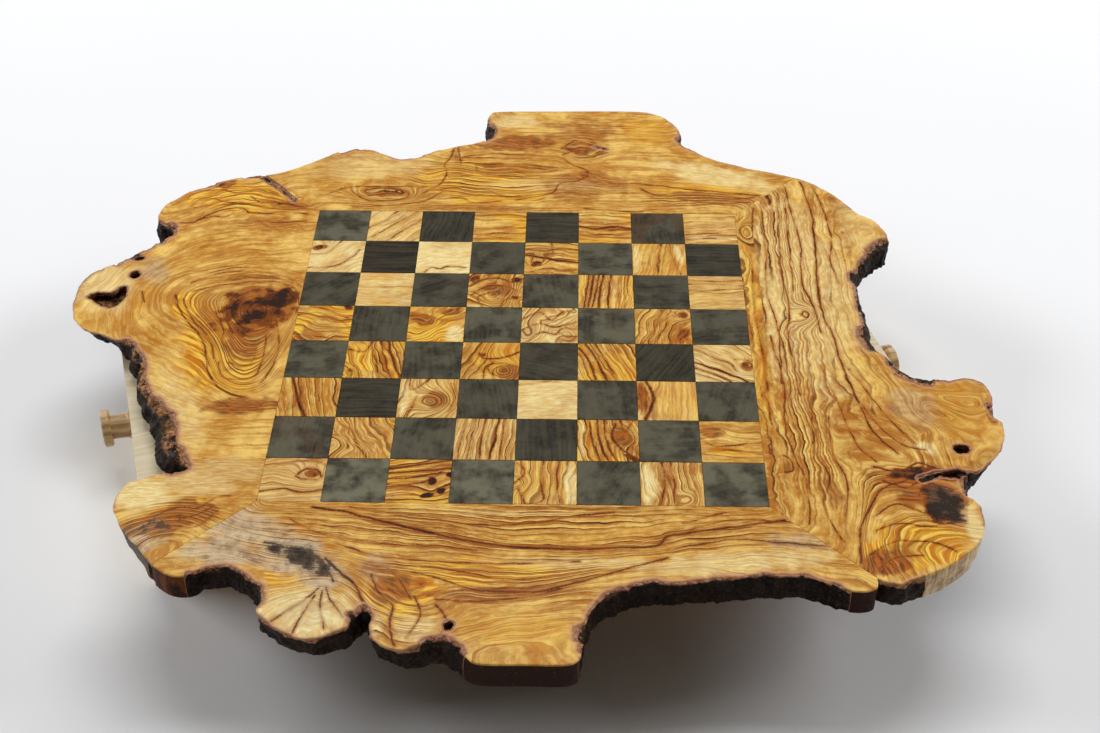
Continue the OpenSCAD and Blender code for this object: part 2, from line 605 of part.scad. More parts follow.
// The rows: the king's side of a drawer holds the tall men, the other the pawns and rooks.
// In a short drawer the men of a row lie closer together.
tall_y = inner_w / 2 - lane_gap - king_r;
short_y = -inner_w / 2 + lane_gap + rook_r;
row_start = face_t + row_gap;
row_len = drawer_len - rear_t - row_start;
tall_sizes = [king_h, queen_h, bishop_h, bishop_h, knight_h, knight_h];
pawns = 8;
short_sizes = concat([for (k = [1:pawns]) pawn_h], [rook_h, rook_h]);
function total(sizes, n) = n == 0 ? 0 : sizes[n - 1] + total(sizes, n - 1);
function man_x(sizes, k) = let (n = len(sizes), spare = row_len - total(sizes, n))
    row_start + total(sizes, k) + k * min(man_gap, spare / n);
module tall_man(side, k, p, r) {
    color(man_colour(side)) in_drawer(side)
        lying(p, r, man_x(tall_sizes, k), tall_y) children();
}
function man_colour(side) = side < 0 ? "#d6a95e" : "#3a332c";
module men_king(side) { tall_man(side, 0, king_profile, king_r) king(); }
module men_queen(side) { tall_man(side, 1, queen_profile, queen_r) queen(); }
module men_bishop(side, k) { tall_man(side, 1 + k, bishop_profile, bishop_r) bishop(); }
module men_knight(side, k) {
    tall_man(side, 3 + k, knight_reach, knight_r) rotate(k == 1 ? 90 : -90) knight();
}
module men_rook(side, k) {
    color(man_colour(side)) in_drawer(side)
        lying(rook_profile, rook_r, man_x(short_sizes, pawns + k - 1), short_y) rook();
}
module men_pawns(side) {
    color(man_colour(side)) in_drawer(side)
        for (k = [0:pawns - 1])
            lying(pawn_profile, pawn_r, man_x(short_sizes, k), short_y) pawn();
}

left_slab();
back_slab();
right_slab();
front_slab();
filler_strip();
board_core();
light_squares();
dark_squares();
base_top();
base_bottom();
front_wall();
back_wall();
divider();
left_end_panel();
right_end_panel();
top_screws();
bottom_screws();
drawer_face(-1);  // left_drawer_face
drawer_side(-1, 1);  // left_drawer_outer_side
drawer_side(-1, -1);  // left_drawer_inner_side
drawer_rear(-1);  // left_drawer_rear
drawer_floor(-1);  // left_drawer_floor
knob(-1);  // left_knob
knob_screw(-1);  // left_knob_screw
drawer_face(1);  // right_drawer_face
drawer_side(1, 1);  // right_drawer_outer_side
drawer_side(1, -1);  // right_drawer_inner_side
drawer_rear(1);  // right_drawer_rear
drawer_floor(1);  // right_drawer_floor
knob(1);  // right_knob
knob_screw(1);  // right_knob_screw
men_king(-1);  // light_king
men_queen(-1);  // light_queen
men_bishop(-1, 1);  // light_bishop_1
men_bishop(-1, 2);  // light_bishop_2
men_knight(-1, 1);  // light_knight_1
men_knight(-1, 2);  // light_knight_2
men_rook(-1, 1);  // light_rook_1
men_rook(-1, 2);  // light_rook_2
men_pawns(-1);  // light_pawns
men_king(1);  // dark_king
men_queen(1);  // dark_queen
men_bishop(1, 1);  // dark_bishop_1
men_bishop(1, 2);  // dark_bishop_2
men_knight(1, 1);  // dark_knight_1
men_knight(1, 2);  // dark_knight_2
men_rook(1, 1);  // dark_rook_1
men_rook(1, 2);  // dark_rook_2
men_pawns(1);  // dark_pawns
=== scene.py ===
"""The chess board's looks: live-edge olive slabs, inlaid squares, a pale base with two drawers
and the turned men in them. Lengths are in millimetres until a mesh is made."""
import json
import math

import bpy
import numpy as np
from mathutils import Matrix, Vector
from mathutils.bvhtree import BVHTree
from mathutils.geometry import delaunay_2d_cdt
from mathutils.kdtree import KDTree


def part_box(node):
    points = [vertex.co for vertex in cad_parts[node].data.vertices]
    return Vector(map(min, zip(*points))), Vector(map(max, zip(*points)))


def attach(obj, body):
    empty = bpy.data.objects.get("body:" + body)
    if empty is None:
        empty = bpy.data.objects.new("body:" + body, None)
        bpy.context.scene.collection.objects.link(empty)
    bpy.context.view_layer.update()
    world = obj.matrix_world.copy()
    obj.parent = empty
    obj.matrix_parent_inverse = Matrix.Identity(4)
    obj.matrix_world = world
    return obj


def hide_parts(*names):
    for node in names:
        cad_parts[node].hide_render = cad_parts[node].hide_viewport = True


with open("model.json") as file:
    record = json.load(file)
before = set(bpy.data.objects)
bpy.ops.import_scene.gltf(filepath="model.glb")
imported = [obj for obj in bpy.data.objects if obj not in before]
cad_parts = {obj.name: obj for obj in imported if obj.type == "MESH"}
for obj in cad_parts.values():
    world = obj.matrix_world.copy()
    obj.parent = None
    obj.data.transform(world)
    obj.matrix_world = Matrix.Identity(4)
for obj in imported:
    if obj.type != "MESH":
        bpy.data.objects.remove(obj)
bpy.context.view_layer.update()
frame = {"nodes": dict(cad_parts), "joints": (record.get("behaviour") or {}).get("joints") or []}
MM = 0.001

# Places and sizes of the solids that the meshes are built on
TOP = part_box("light_squares")[1].z / MM
SLAB_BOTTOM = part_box("board_core")[0].z / MM
THICKNESS = TOP - SLAB_BOTTOM
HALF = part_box("board_core")[1].x / MM
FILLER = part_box("filler_strip")[1].x / MM - HALF
SQUARES = 8
SQUARE = 2 * HALF / SQUARES
SQUARE_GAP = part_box("light_squares")[0].x / MM + HALF
BASE_TURN = math.atan2(-frame["joints"][0]["axis"][1], -frame["joints"][0]["axis"][0])

# The camera, from the photograph's vanishing lines: its place and view in metres, and its lens
CAMERA_PLACE = (0.0342, -0.8531, 0.7699)
CAMERA_VIEW = (-0.01319, 0.76848, -0.63973)
CAMERA_LENS = 54.24
CAMERA_SENSOR = 36


def make_camera():
    """The photograph's view of the board."""
    data = bpy.data.cameras.new("camera")
    data.sensor_width = CAMERA_SENSOR
    data.lens = CAMERA_LENS
    camera = bpy.data.objects.new("camera", data)
    bpy.context.scene.collection.objects.link(camera)
    camera.location = CAMERA_PLACE
    camera.rotation_euler = Vector(CAMERA_VIEW).to_track_quat("-Z", "Y").to_euler()
    bpy.context.scene.camera = camera


def lattice(i, j, k, seed):
    """A random number from 0 to 1 for each whole place, always the same one."""
    h = (i * 374761393 + j * 668265263 + k * 2246822519 + seed * 3266489917) & 0xFFFFFFFF
    h = ((h ^ (h >> 13)) * 1274126177) & 0xFFFFFFFF
    return ((h ^ (h >> 16)) & 0xFFFF) / 65535.0


def noise(points, size, seed, octaves):
    """Smooth noise from 0 to 1 at points in the plane or in space, its waves as long as size."""
    p = np.asarray(points, float)
    if p.shape[1] == 2:
        p = np.c_[p, np.zeros(len(p))]
    total, weight, value = 0.0, 1.0, 0.0
    for octave in range(octaves):
        q = p * (2 ** octave / size) + 37.7 * octave
        base = np.floor(q).astype(np.int64)
        f = q - base
        f = f * f * (3 - 2 * f)
        mixed = 0.0
        for corner in np.ndindex(2, 2, 2):
            share = np.abs(1 - np.array(corner) - f).prod(axis=1)
            mixed = mixed + share * lattice(*(base + corner).T, seed + octave)
        value = value + weight * mixed
        total += weight
        weight *= 0.5
    return value / total


def sway(points, size, seed, octaves, reach):
    """Noise that swings to both sides of 0, by half the reach at most."""
    return reach * (noise(points, size, seed, octaves) - 0.5)


def drift(points, size, seeds, octaves, reach):
    """A sway in x and another in y."""
    return np.c_[tuple(sway(points, size, seed, octaves, reach) for seed in seeds)]


def smooth(x, low, high):
    """A soft step from 0 at low to 1 at high."""
    t = np.clip((np.asarray(x, float) - low) / (high - low), 0, 1)
    return t * t * (3 - 2 * t)


def through(points, closed=False, steps=6):
    """A smooth curve through points, closed or not."""
    p = np.asarray(points, float)
    if closed:
        p = np.vstack([p[-1], p, p[0], p[1]])
    else:
        p = np.vstack([p[0], p, p[-1]])
    out = []
    for a, b, c, d in zip(p[:-3], p[1:-2], p[2:-1], p[3:]):
        for s in range(steps):
            t = s / steps
            out.append(0.5 * (2 * b + (c - a) * t + (2 * a - 5 * b + 4 * c - d) * t * t
                              + (3 * b - a - 3 * c + d) * t ** 3))
    out.append(p[-2])
    return np.array(out)


def distance_to(points, line):
    """Distance from each point to a polyline."""
    best = np.full(len(points), np.inf)
    for a, b in zip(line[:-1], line[1:]):
        d = b - a
        length = max(d @ d, 1e-9)
        t = np.clip((points - a) @ d / length, 0, 1)
        near = a + t[:, None] * d
        best = np.minimum(best, np.hypot(*(points - near).T))
    return best


class RingField:
    """Growth rings: drawn contours, each with its level, and a smooth surface between."""
    CELL = 2.0
    MARGIN = 6
    COARSEST = 12
    ROUNDS = 60
    LOOSE_ROUNDS = 6

    def __init__(self, low, high, contours):
        self.low = np.array(low, float) - self.MARGIN
        size = np.array(high, float) + self.MARGIN - self.low
        self.shape = tuple((size / self.CELL).astype(int) + 2)
        known = np.zeros(self.shape, bool)
        level = np.zeros(self.shape)
        for value, points in contours:
            closed = points[0] == points[-1]
            line = through(points[:-1] if closed else points, closed)
            for a, b in zip(line[:-1], line[1:]):
                count = int(np.hypot(*(b - a)) / self.CELL) + 2
                for t in np.linspace(0, 1, count):
                    i, j = ((a + (b - a) * t - self.low) / self.CELL + 0.5).astype(int)
                    if 0 <= i < self.shape[0] and 0 <= j < self.shape[1]:
                        known[i, j] = True
                        level[i, j] = value
        self.level = self.relax(level, known)

    def relax(self, level, known):
        """Fills the cells between the contours, from coarse to fine."""
        if min(level.shape) > self.COARSEST:
            n, m = (s // 2 * 2 for s in level.shape)
            count, total = (cells[:n, :m].reshape(n // 2, 2, m // 2, 2).sum((1, 3))
                            for cells in (known, level * known))
            coarse = self.relax(np.where(count > 0, total / np.maximum(count, 1), 0), count > 0)
            i = np.minimum(np.arange(level.shape[0]) // 2, coarse.shape[0] - 1)
            j = np.minimum(np.arange(level.shape[1]) // 2, coarse.shape[1] - 1)
            guess = coarse[np.ix_(i, j)]
        else:
            guess = np.full(level.shape, level[known].mean())
        field = np.where(known, level, guess)
        for step in range(self.ROUNDS):
            e = np.pad(field, 1, mode="edge")
            mean = (e[2:, 1:-1] + e[:-2, 1:-1] + e[1:-1, 2:] + e[1:-1, :-2]) / 4
            held = step < self.ROUNDS - self.LOOSE_ROUNDS
            field = np.where(known, level, mean) if held else mean
        return field

    def at(self, points):
        """The level at each point."""
        q = (points - self.low) / self.CELL
        q = np.clip(q, 0, np.array(self.shape) - 1.001)
        i, j = q.astype(int).T
        f, g = (q - q.astype(int)).T
        v = self.level
        return ((v[i, j] * (1 - f) + v[i + 1, j] * f) * (1 - g)
                + (v[i, j + 1] * (1 - f) + v[i + 1, j + 1] * f) * g)


# What the photograph shows of each piece of wood. A ring is (level, points), and closed where it
# ends in its first point. A stroke is (width, darkness, points). A bark seam is (half width,
# points). The outline is barky but where it was sawn (x, y, radius, kind, amount), and there the
# wall below the edge takes the kind's tint; the ink tint on the sawn walls that face the front is
# partly dark wood and partly painted shade. Near a skin spot (x, y, radius) the bark comes in over
# the top, and near a dry one it also lies bare and reddish.
# A patch is (amount, x, y, half length, half width, turn), listed by kind, and has no turn where it
# isn't turned. run is the fibres' direction in degrees, and veins how strong the rings show.
LEFT_SLAB = {
    "run": 0, "veins": 0.1,
    "rings": [
        (-200, [(-250, 183), (-225, 194), (-200, 198)]),
        (-180, [(-266, 160), (-243, 176), (-215, 184), (-192, 182), (-170, 166)]),
        (-150, [(-268, 134), (-243, 136), (-227, 150), (-210, 155), (-190, 150), (-152, 149)]),
        (-128, [(-300, 60), (-262, 112), (-230, 128), (-152, 130)]),
        (-98, [(-296, 16), (-268, 66), (-236, 88), (-200, 98), (-152, 98)]),
        (-74, [(-258, 2), (-250, 50), (-222, 72), (-185, 78), (-152, 74)]),
        (-60, [(-178, -60), (-195, -44), (-205, -15), (-220, 12), (-236, 35), (-234, 52),
            (-210, 60), (-180, 64), (-158, 60), (-152, 40), (-158, -20), (-163, -45), (-178, -60)]),
        (-25, [(-178, -40), (-191, -24), (-197, 0), (-207, 24), (-214, 40), (-204, 52), (-180, 58),
            (-164, 52), (-157, 30), (-162, -10), (-168, -28), (-178, -40)]),
        (5, [(-180, -10), (-190, 6), (-198, 28), (-192, 46), (-178, 51), (-166, 42), (-163, 20),
            (-170, 0), (-180, -10)]),
        (35, [(-181, 20), (-187, 32), (-180, 42), (-172, 34), (-173, 22), (-181, 20)]),
        (-78, [(-226, -56), (-190, -74), (-152, -72)]),
        (-112, [(-204, -108), (-152, -110)]),
        (-148, [(-236, -150), (-190, -148), (-152, -142)]),
        (-164, [(-232, -166), (-214, -157), (-196, -153), (-172, -159)]),
        (-178, [(-230, -176), (-210, -164), (-192, -161), (-180, -166)]),
        (-192, [(-220, -186), (-206, -175), (-192, -171), (-184, -176)]),
        (-206, [(-208, -195), (-198, -186), (-188, -184)]),
    ],
    "strokes": [
        (1.1, 0.95, [(-266, 132), (-243, 135), (-238, 140), (-227, 149), (-210, 154), (-204, 148)]),
        (1.0, 0.7, [(-204, 148), (-190, 147), (-178, 150), (-160, 146)]),
        (0.9, 0.6, [(-238, 138), (-230, 143), (-222, 142), (-214, 146)]),
        (1.3, 0.75, [(-238, 48), (-228, 24), (-214, 4), (-206, -16), (-200, -38), (-186, -54),
            (-174, -58)]),
        (1.0, 0.6, [(-232, 44), (-222, 22), (-208, 2), (-200, -20)]),
        (1.0, 0.6, [(-228, 52), (-214, 58), (-196, 62), (-176, 64), (-162, 60)]),
        (1.0, 0.7, [(-196, -24), (-192, -38), (-182, -41), (-172, -38), (-168, -22), (-170, 6)]),
        (1.0, 0.7, [(-208, 30), (-200, 12), (-196, -6), (-184, -12), (-174, -10)]),
        (0.9, 0.6, [(-190, -24), (-182, -27), (-175, -24), (-174, -8)]),
        (0.9, 0.6, [(-205, 48), (-197, 40), (-199, 24), (-192, 8), (-180, 3)]),
        (1.0, 0.55, [(-166, 22), (-160, 0), (-160, -24), (-166, -44)]),
        (0.9, 0.5, [(-262, 52), (-258, 40)]),
        (1.5, 0.9, [(-244, 182), (-236, 186), (-228, 181), (-220, 186)]),
        (1.2, 0.7, [(-240, 176), (-228, 178), (-218, 174), (-206, 176)]),
        (0.9, 0.6, [(-262, 156), (-252, 164), (-236, 166), (-214, 160), (-190, 162), (-166, 156)]),
        (0.9, 0.5, [(-258, 148), (-236, 156), (-212, 160)]),
        (1.0, 0.6, [(-206, 170), (-192, 158), (-176, 160), (-162, 154)]),
        (1.0, 0.6, [(-200, 164), (-186, 166), (-170, 162)]),
        (1.2, 0.7, [(-214, -178), (-208, -164), (-196, -158), (-186, -159), (-178, -150),
            (-168, -148)]),
        (1.0, 0.6, [(-208, -174), (-200, -166), (-188, -166), (-178, -158)]),
        (1.0, 0.5, [(-204, -186), (-196, -176), (-184, -174), (-176, -164)]),
        (0.8, 0.7, [(-262, 110), (-254, 122), (-246, 126)]),
        (0.9, 0.45, [(-230, 62), (-210, 74), (-186, 76), (-166, 70)]),
        (0.9, 0.4, [(-224, 70), (-204, 80), (-184, 80)]),
        (0.9, 0.35, [(-196, 138), (-180, 136), (-160, 138)]),
    ],
    "bark": [(2.4, [(-214, 196), (-202, 196), (-188, 183), (-172, 165)]),
        (2.4, [(-268, 134), (-262, 127), (-254, 127)]), (2.0, [(-262, 130), (-256, 122),
        (-260, 112)])],
    # The ink tint on this front-facing sawn wall is partly dark wood and partly painted shade
    "sawn": [(-222, -180, 27, "ink", 0.7)],
    "skin": [(-244, 182, 12), (-268, 100, 18), (-300, 70, 12), (-262, 132, 10)],
    "dry": [(-206, 196, 12), (-190, 184, 12), (-176, 168, 10), (-256, 120, 14), (-284, 92, 12),
        (-250, -20, 28), (-230, -60, 30), (-212, -100, 22), (-205, -120, 12)],
    "patches": {
        "veins": [(0.8, -196, 38, 52, 30), (0.85, -182, -16, 30, 52), (0.9, -214, 172, 58, 27, -8),
            (1.1, -202, -170, 34, 20, 24), (0.5, -196, 72, 46, 12)],
        "gold": [(1.0, -228, 36, 14, 20), (1.0, -184, -30, 22, 34), (1.0, -200, -4, 34, 60),
            (0.7, -200, 16, 20, 30), (1.0, -215, 170, 60, 27, -8), (0.9, -196, -162, 34, 16, 10),
            (0.35, -205, 100, 62, 44), (0.35, -270, 40, 30, 40)],
        "brown": [(0.6, -206, 10, 16, 40, 26), (0.5, -168, -10, 14, 40), (1.0, -178, 34, 34, 30),
            (1.0, -182, 10, 24, 26), (1.0, -186, 0, 16, 34), (0.5, -212, 40, 20, 20),
            (0.6, -182, -18, 18, 20), (0.75, -176, -66, 34, 12, 4), (0.25, -190, -92, 30, 20, 10),
            (0.42, -205, 104, 60, 40), (0.5, -216, 6, 8, 24, 36), (0.6, -188, 68, 40, 7),
            (1.0, -230, 185, 16, 7, 22), (0.9, -194, 190, 26, 6, -42), (0.7, -176, 158, 26, 9, -10),
            (0.5, -192, 136, 44, 12), (1.2, -198, -167, 36, 16, 24), (0.4, -252, 66, 9, 6)],
        "ink": [(1.0, -168, 44, 22, 15, 30), (0.9, -184, 22, 20, 11, 28),
            (0.72, -180, 30, 34, 28, 30), (0.6, -196, 42, 8, 14, 30), (0.6, -232, 184, 9, 4, 22),
            (0.4, -206, -170, 26, 10, 26)],
        "grey": [(0.9, -215, -183, 24, 15, 45), (0.5, -258, 74, 12, 20, 20)],
        "pale": [(0.5, -190, -138, 30, 12), (0.65, -288, 58, 22, 38, 10),
            (0.4, -218, -72, 22, 50, 20), (0.85, -220, -148, 24, 20), (0.35, -180, -126, 36, 14)],
    },
}
BACK_SLAB = {
    "run": 0, "veins": 0.12,
    "rings": [
        (150, [(-150, 153), (0, 153), (150, 153)]),
        (166, [(-165, 165), (-130, 164), (-60, 160), (20, 158), (60, 158), (165, 166)]),
        (196, [(-125, 176), (-116, 182), (-98, 181), (-88, 174), (-96, 166), (-118, 166),
            (-125, 176)]),
        (180, [(-180, 190), (-140, 188), (-110, 192), (-70, 182), (-40, 172), (-10, 172), (20, 182),
            (60, 178), (110, 184), (168, 176)]),
        (200, [(-80, 190), (-62, 205), (-30, 200), (0, 198), (30, 200), (44, 204)]),
        (214, [(-40, 212), (-20, 216), (12, 214), (28, 208), (4, 206), (-30, 206), (-40, 212)]),
        (224, [(-66, 222), (-48, 226), (-20, 226), (20, 224), (40, 214)]),
        (205, [(48, 196), (90, 192), (130, 186), (178, 178)]),
        (240, [(-60, 240), (-30, 238), (10, 236), (24, 240), (40, 236), (56, 240)]),
        (250, [(30, 244), (40, 252), (52, 244), (46, 232), (34, 232), (30, 244)]),
        (275, [(-28, 272), (20, 270), (70, 272), (112, 268)]),
        (292, [(-20, 290), (60, 294), (104, 288)]),
        (230, [(70, 226), (110, 222), (150, 206), (190, 198)]),
        (212, [(-190, 198), (-150, 220), (-110, 214), (-80, 218)]),
    ],
    "strokes": [
        (1.2, 0.6, [(-150, 172), (-136, 182), (-118, 184), (-96, 184), (-76, 185)]),
        (1.2, 0.75, [(-127, 174), (-118, 166), (-98, 166), (-89, 172), (-94, 180), (-112, 182),
            (-122, 178)]),
        (1.0, 0.6, [(-118, 172), (-104, 175), (-94, 173)]),
        (1.2, 0.55, [(-128, 157), (-104, 159), (-90, 162), (-76, 166), (-64, 178)]),
        (1.2, 0.6, [(-78, 176), (-68, 186), (-62, 200), (-64, 214), (-60, 228), (-58, 238)]),
        (1.0, 0.6, [(-40, 215), (-20, 216), (8, 214), (22, 211), (14, 206), (-20, 205), (-38, 206),
            (-40, 215)]),
        (1.0, 0.5, [(-34, 212), (-10, 213), (12, 210)]),
        (1.3, 0.7, [(-50, 226), (-30, 230), (0, 229), (24, 226), (32, 216), (44, 208), (44, 200)]),
        (1.3, 0.7, [(44, 200), (36, 194), (24, 190), (18, 178), (4, 172), (-8, 168)]),
        (1.0, 0.55, [(-70, 180), (-50, 184), (-30, 180), (-16, 172), (10, 176)]),
        (1.0, 0.5, [(-66, 168), (-48, 170), (-40, 164), (-20, 166)]),
        (1.0, 0.5, [(-60, 198), (-40, 200), (-16, 200), (10, 198), (30, 202)]),
        (1.5, 0.7, [(60, 192), (90, 190), (120, 184), (150, 180), (172, 176)]),
        (1.3, 0.65, [(84, 184), (96, 176), (120, 176), (146, 172), (168, 174)]),
        (1.2, 0.6, [(92, 172), (114, 170), (136, 166), (164, 168)]),
        (1.1, 0.6, [(42, 158), (60, 156), (80, 154), (96, 158)]),
        (1.3, 0.7, [(-56, 240), (-54, 230), (-52, 216)]),
        (1.2, 0.7, [(24, 238), (34, 250), (46, 246), (58, 240)]),
        (1.0, 0.6, [(26, 230), (36, 236), (48, 228), (56, 236)]),
    ],
    "bark": [(1.3, [(50, 242), (56, 240), (60, 238)])],
    "sawn": [(30, 294, 58, "brown", 0.35), (-172, 212, 22, "brown", 0.3)],
    "skin": [(-95, 224, 16), (-34, 262, 16), (118, 246, 14)],
    "dry": [(-138, 236, 12)],
    "patches": {
        "veins": [(0.9, -30, 196, 70, 36), (0.8, -106, 170, 56, 20), (1.2, 124, 172, 56, 16, -4),
            (0.8, 40, 238, 26, 20), (0.35, 46, 186, 36, 26, 10)],
        "brown": [(0.6, 44, 188, 46, 28, 10), (0.8, -10, 246, 44, 14), (0.6, 40, 262, 44, 26),
            (0.9, 40, 238, 24, 15), (0.6, -20, 208, 60, 12), (0.5, -60, 176, 50, 12, 8),
            (0.6, -106, 174, 18, 7, -4), (0.8, 132, 174, 44, 9, -5), (0.3, -90, 156, 60, 5),
            (0.6, -30, 157, 80, 5), (0.3, -104, 212, 12, 22), (0.5, 36, 284, 16, 8)],
        "gold": [(1.0, -30, 190, 60, 34), (0.7, 130, 180, 50, 18), (0.5, 90, 262, 26, 30)],
        "pale": [(0.4, 10, 188, 50, 10), (0.7, 140, 203, 54, 15, -20), (0.35, -120, 212, 50, 20, 5),
            (0.6, -14, 278, 22, 12), (0.8, -54, 228, 3, 6)],
        "ink": [(0.6, -56, 228, 5, 9, 10), (0.5, 50, 243, 8, 3, -20), (0.5, 42, 202, 5, 6)],
    },
}
RIGHT_SLAB = {
    "run": 90, "veins": 0.3,
    "rings": [
        (160, [(163, 165), (162, 40), (163, -60), (164, -165)]),
        (178, [(182, 182), (178, 100), (177, 0), (180, -60), (180, -130), (184, -185)]),
        (196, [(197, 196), (196, 100), (195, 40), (198, -20), (196, -90), (204, -140),
            (198, -196)]),
        (205, [(206, 198), (205, 100), (203, 50), (208, 0), (214, -50), (222, -90), (242, -112)]),
        (222, [(222, 184), (221, 100), (222, 50), (226, 0), (236, -40), (244, -70), (258, -84)]),
        (240, [(250, 150), (244, 118), (232, 60), (236, 0), (262, -40), (290, -60)]),
        (262, [(300, -50), (298, -90), (282, -114)]),
        (225, [(210, -208), (204, -190), (206, -160), (220, -136), (248, -130), (266, -132)]),
        (240, [(220, -208), (212, -190), (216, -162), (232, -146), (256, -142), (272, -150)]),
        (255, [(234, -206), (226, -190), (232, -170), (252, -160), (272, -162)]),
        (270, [(248, -198), (244, -186), (256, -176), (272, -174)]),
        (286, [(256, -196), (262, -187), (276, -184)]),
        (250, [(250, -34), (276, -44), (300, -52)]),
        (256, [(258, -60), (280, -76), (302, -80)]),
        (180, [(190, 36), (194, 41), (197, 34), (193, 29), (190, 36)]),
    ],
    "strokes": [
        (1.4, 0.85, [(204, 196), (208, 160), (206, 100), (203, 60), (204, 30), (208, 8), (210, -20),
            (216, -56), (222, -84), (234, -104)]),
        (1.1, 0.75, [(192, 188), (194, 150), (196, 110), (193, 70), (198, 40), (200, 14)]),
        (1.3, 0.8, [(166, 160), (162, 110), (162, 60), (165, 30), (161, 0), (162, -60),
            (160, -110)]),
        (1.1, 0.65, [(186, 180), (182, 130), (180, 80), (181, 40), (178, 10), (180, -50)]),
        (1.1, 0.6, [(190, 160), (188, 110), (186, 60)]),
        (1.1, 0.7, [(212, 192), (217, 160), (219, 120), (216, 96), (218, 70)]),
        (1.0, 0.6, [(172, 170), (171, 110), (168, 60), (172, 10), (168, -40)]),
        (1.3, 0.75, [(200, -196), (203, -170), (212, -150), (220, -136), (238, -126)]),
        (1.5, 0.8, [(218, -116), (232, -120), (246, -112), (258, -118), (270, -116)]),
        (1.4, 0.8, [(222, -128), (234, -134), (246, -128), (262, -136)]),
        (1.3, 0.8, [(212, -170), (226, -164), (242, -166), (262, -162)]),
        (1.1, 0.7, [(214, -158), (226, -148), (238, -152), (250, -162)]),
        (1.1, 0.7, [(206, -190), (216, -182), (230, -178), (246, -180), (256, -186)]),
        (1.0, 0.6, [(210, -200), (220, -192), (236, -190)]),
        (1.0, 0.6, [(166, 10), (170, -40), (168, -90), (176, -130), (174, -166)]),
        (1.0, 0.6, [(210, -30), (222, -70), (238, -96), (252, -100)]),
        (1.0, 0.6, [(214, -24), (230, -64), (242, -88)]),
        (1.1, 0.65, [(186, -60), (184, -100), (190, -126), (184, -150), (192, -180)]),
        (1.0, 0.6, [(196, -70), (194, -100), (200, -130), (196, -160)]),
        (1.1, 0.8, [(161, -104), (168, -110), (169, -120), (160, -121), (163, -110)]),
        (1.0, 0.7, [(191, 37), (194, 35), (193, 30), (190, 33), (191, 37)]),
        (1.0, 0.55, [(196, -20), (204, -60), (210, -96), (220, -112)]),
    ],
    "bark": [(2.4, [(246, -126), (258, -121), (268, -124)]), (2.0, [(298, -58), (300, -66)])],
    "sawn": [(260, -190, 32, "grey", 0.9)],
    "skin": [(232, 60, 30), (236, 20, 26), (250, -24, 20), (246, 104, 22), (280, -32, 24),
        (275, -130, 12)],
    "dry": [(252, 112, 14), (232, 8, 16), (256, -30, 12)],
    "patches": {
        "veins": [(1.1, 180, 40, 34, 190), (1.1, 196, -90, 38, 90, 10), (0.55, 236, -160, 42, 48),
            (0.8, 240, -100, 30, 30)],
        "pale": [(0.6, 190, 60, 44, 130), (0.9, 251, -98, 9, 6, -20), (0.8, 270, -164, 7, 22, 5),
            (0.3, 240, 140, 18, 40), (0.35, 224, 40, 8, 60)],
        "brown": [(1.0, 250, -140, 26, 20, -10), (1.0, 240, -132, 32, 14, -20),
            (0.6, 226, -186, 22, 9, 30), (1.0, 216, -195, 20, 12, 20), (0.4, 262, -66, 36, 26),
            (0.5, 164, -116, 8, 9), (0.6, 190, -140, 12, 18), (0.4, 190, -84, 9, 34, 4),
            (0.6, 278, -118, 16, 9, 40), (0.7, 299, -66, 5, 14)],
        "ink": [(0.9, 258, -124, 18, 6, -10), (0.95, 254, -148, 15, 22, 10),
            (0.85, 238, -121, 22, 7, 6), (0.35, 228, 130, 2, 3), (0.35, 229, 112, 3, 2),
            (0.3, 226, 96, 2, 2)],
        "grey": [(0.8, 257, -146, 13, 20, 10), (0.4, 250, -60, 18, 22, 30)],
        "gold": [(1.0, 234, -182, 36, 24, 10), (0.4, 278, -60, 26, 40), (0.3, 190, 60, 34, 130)],
    },
}
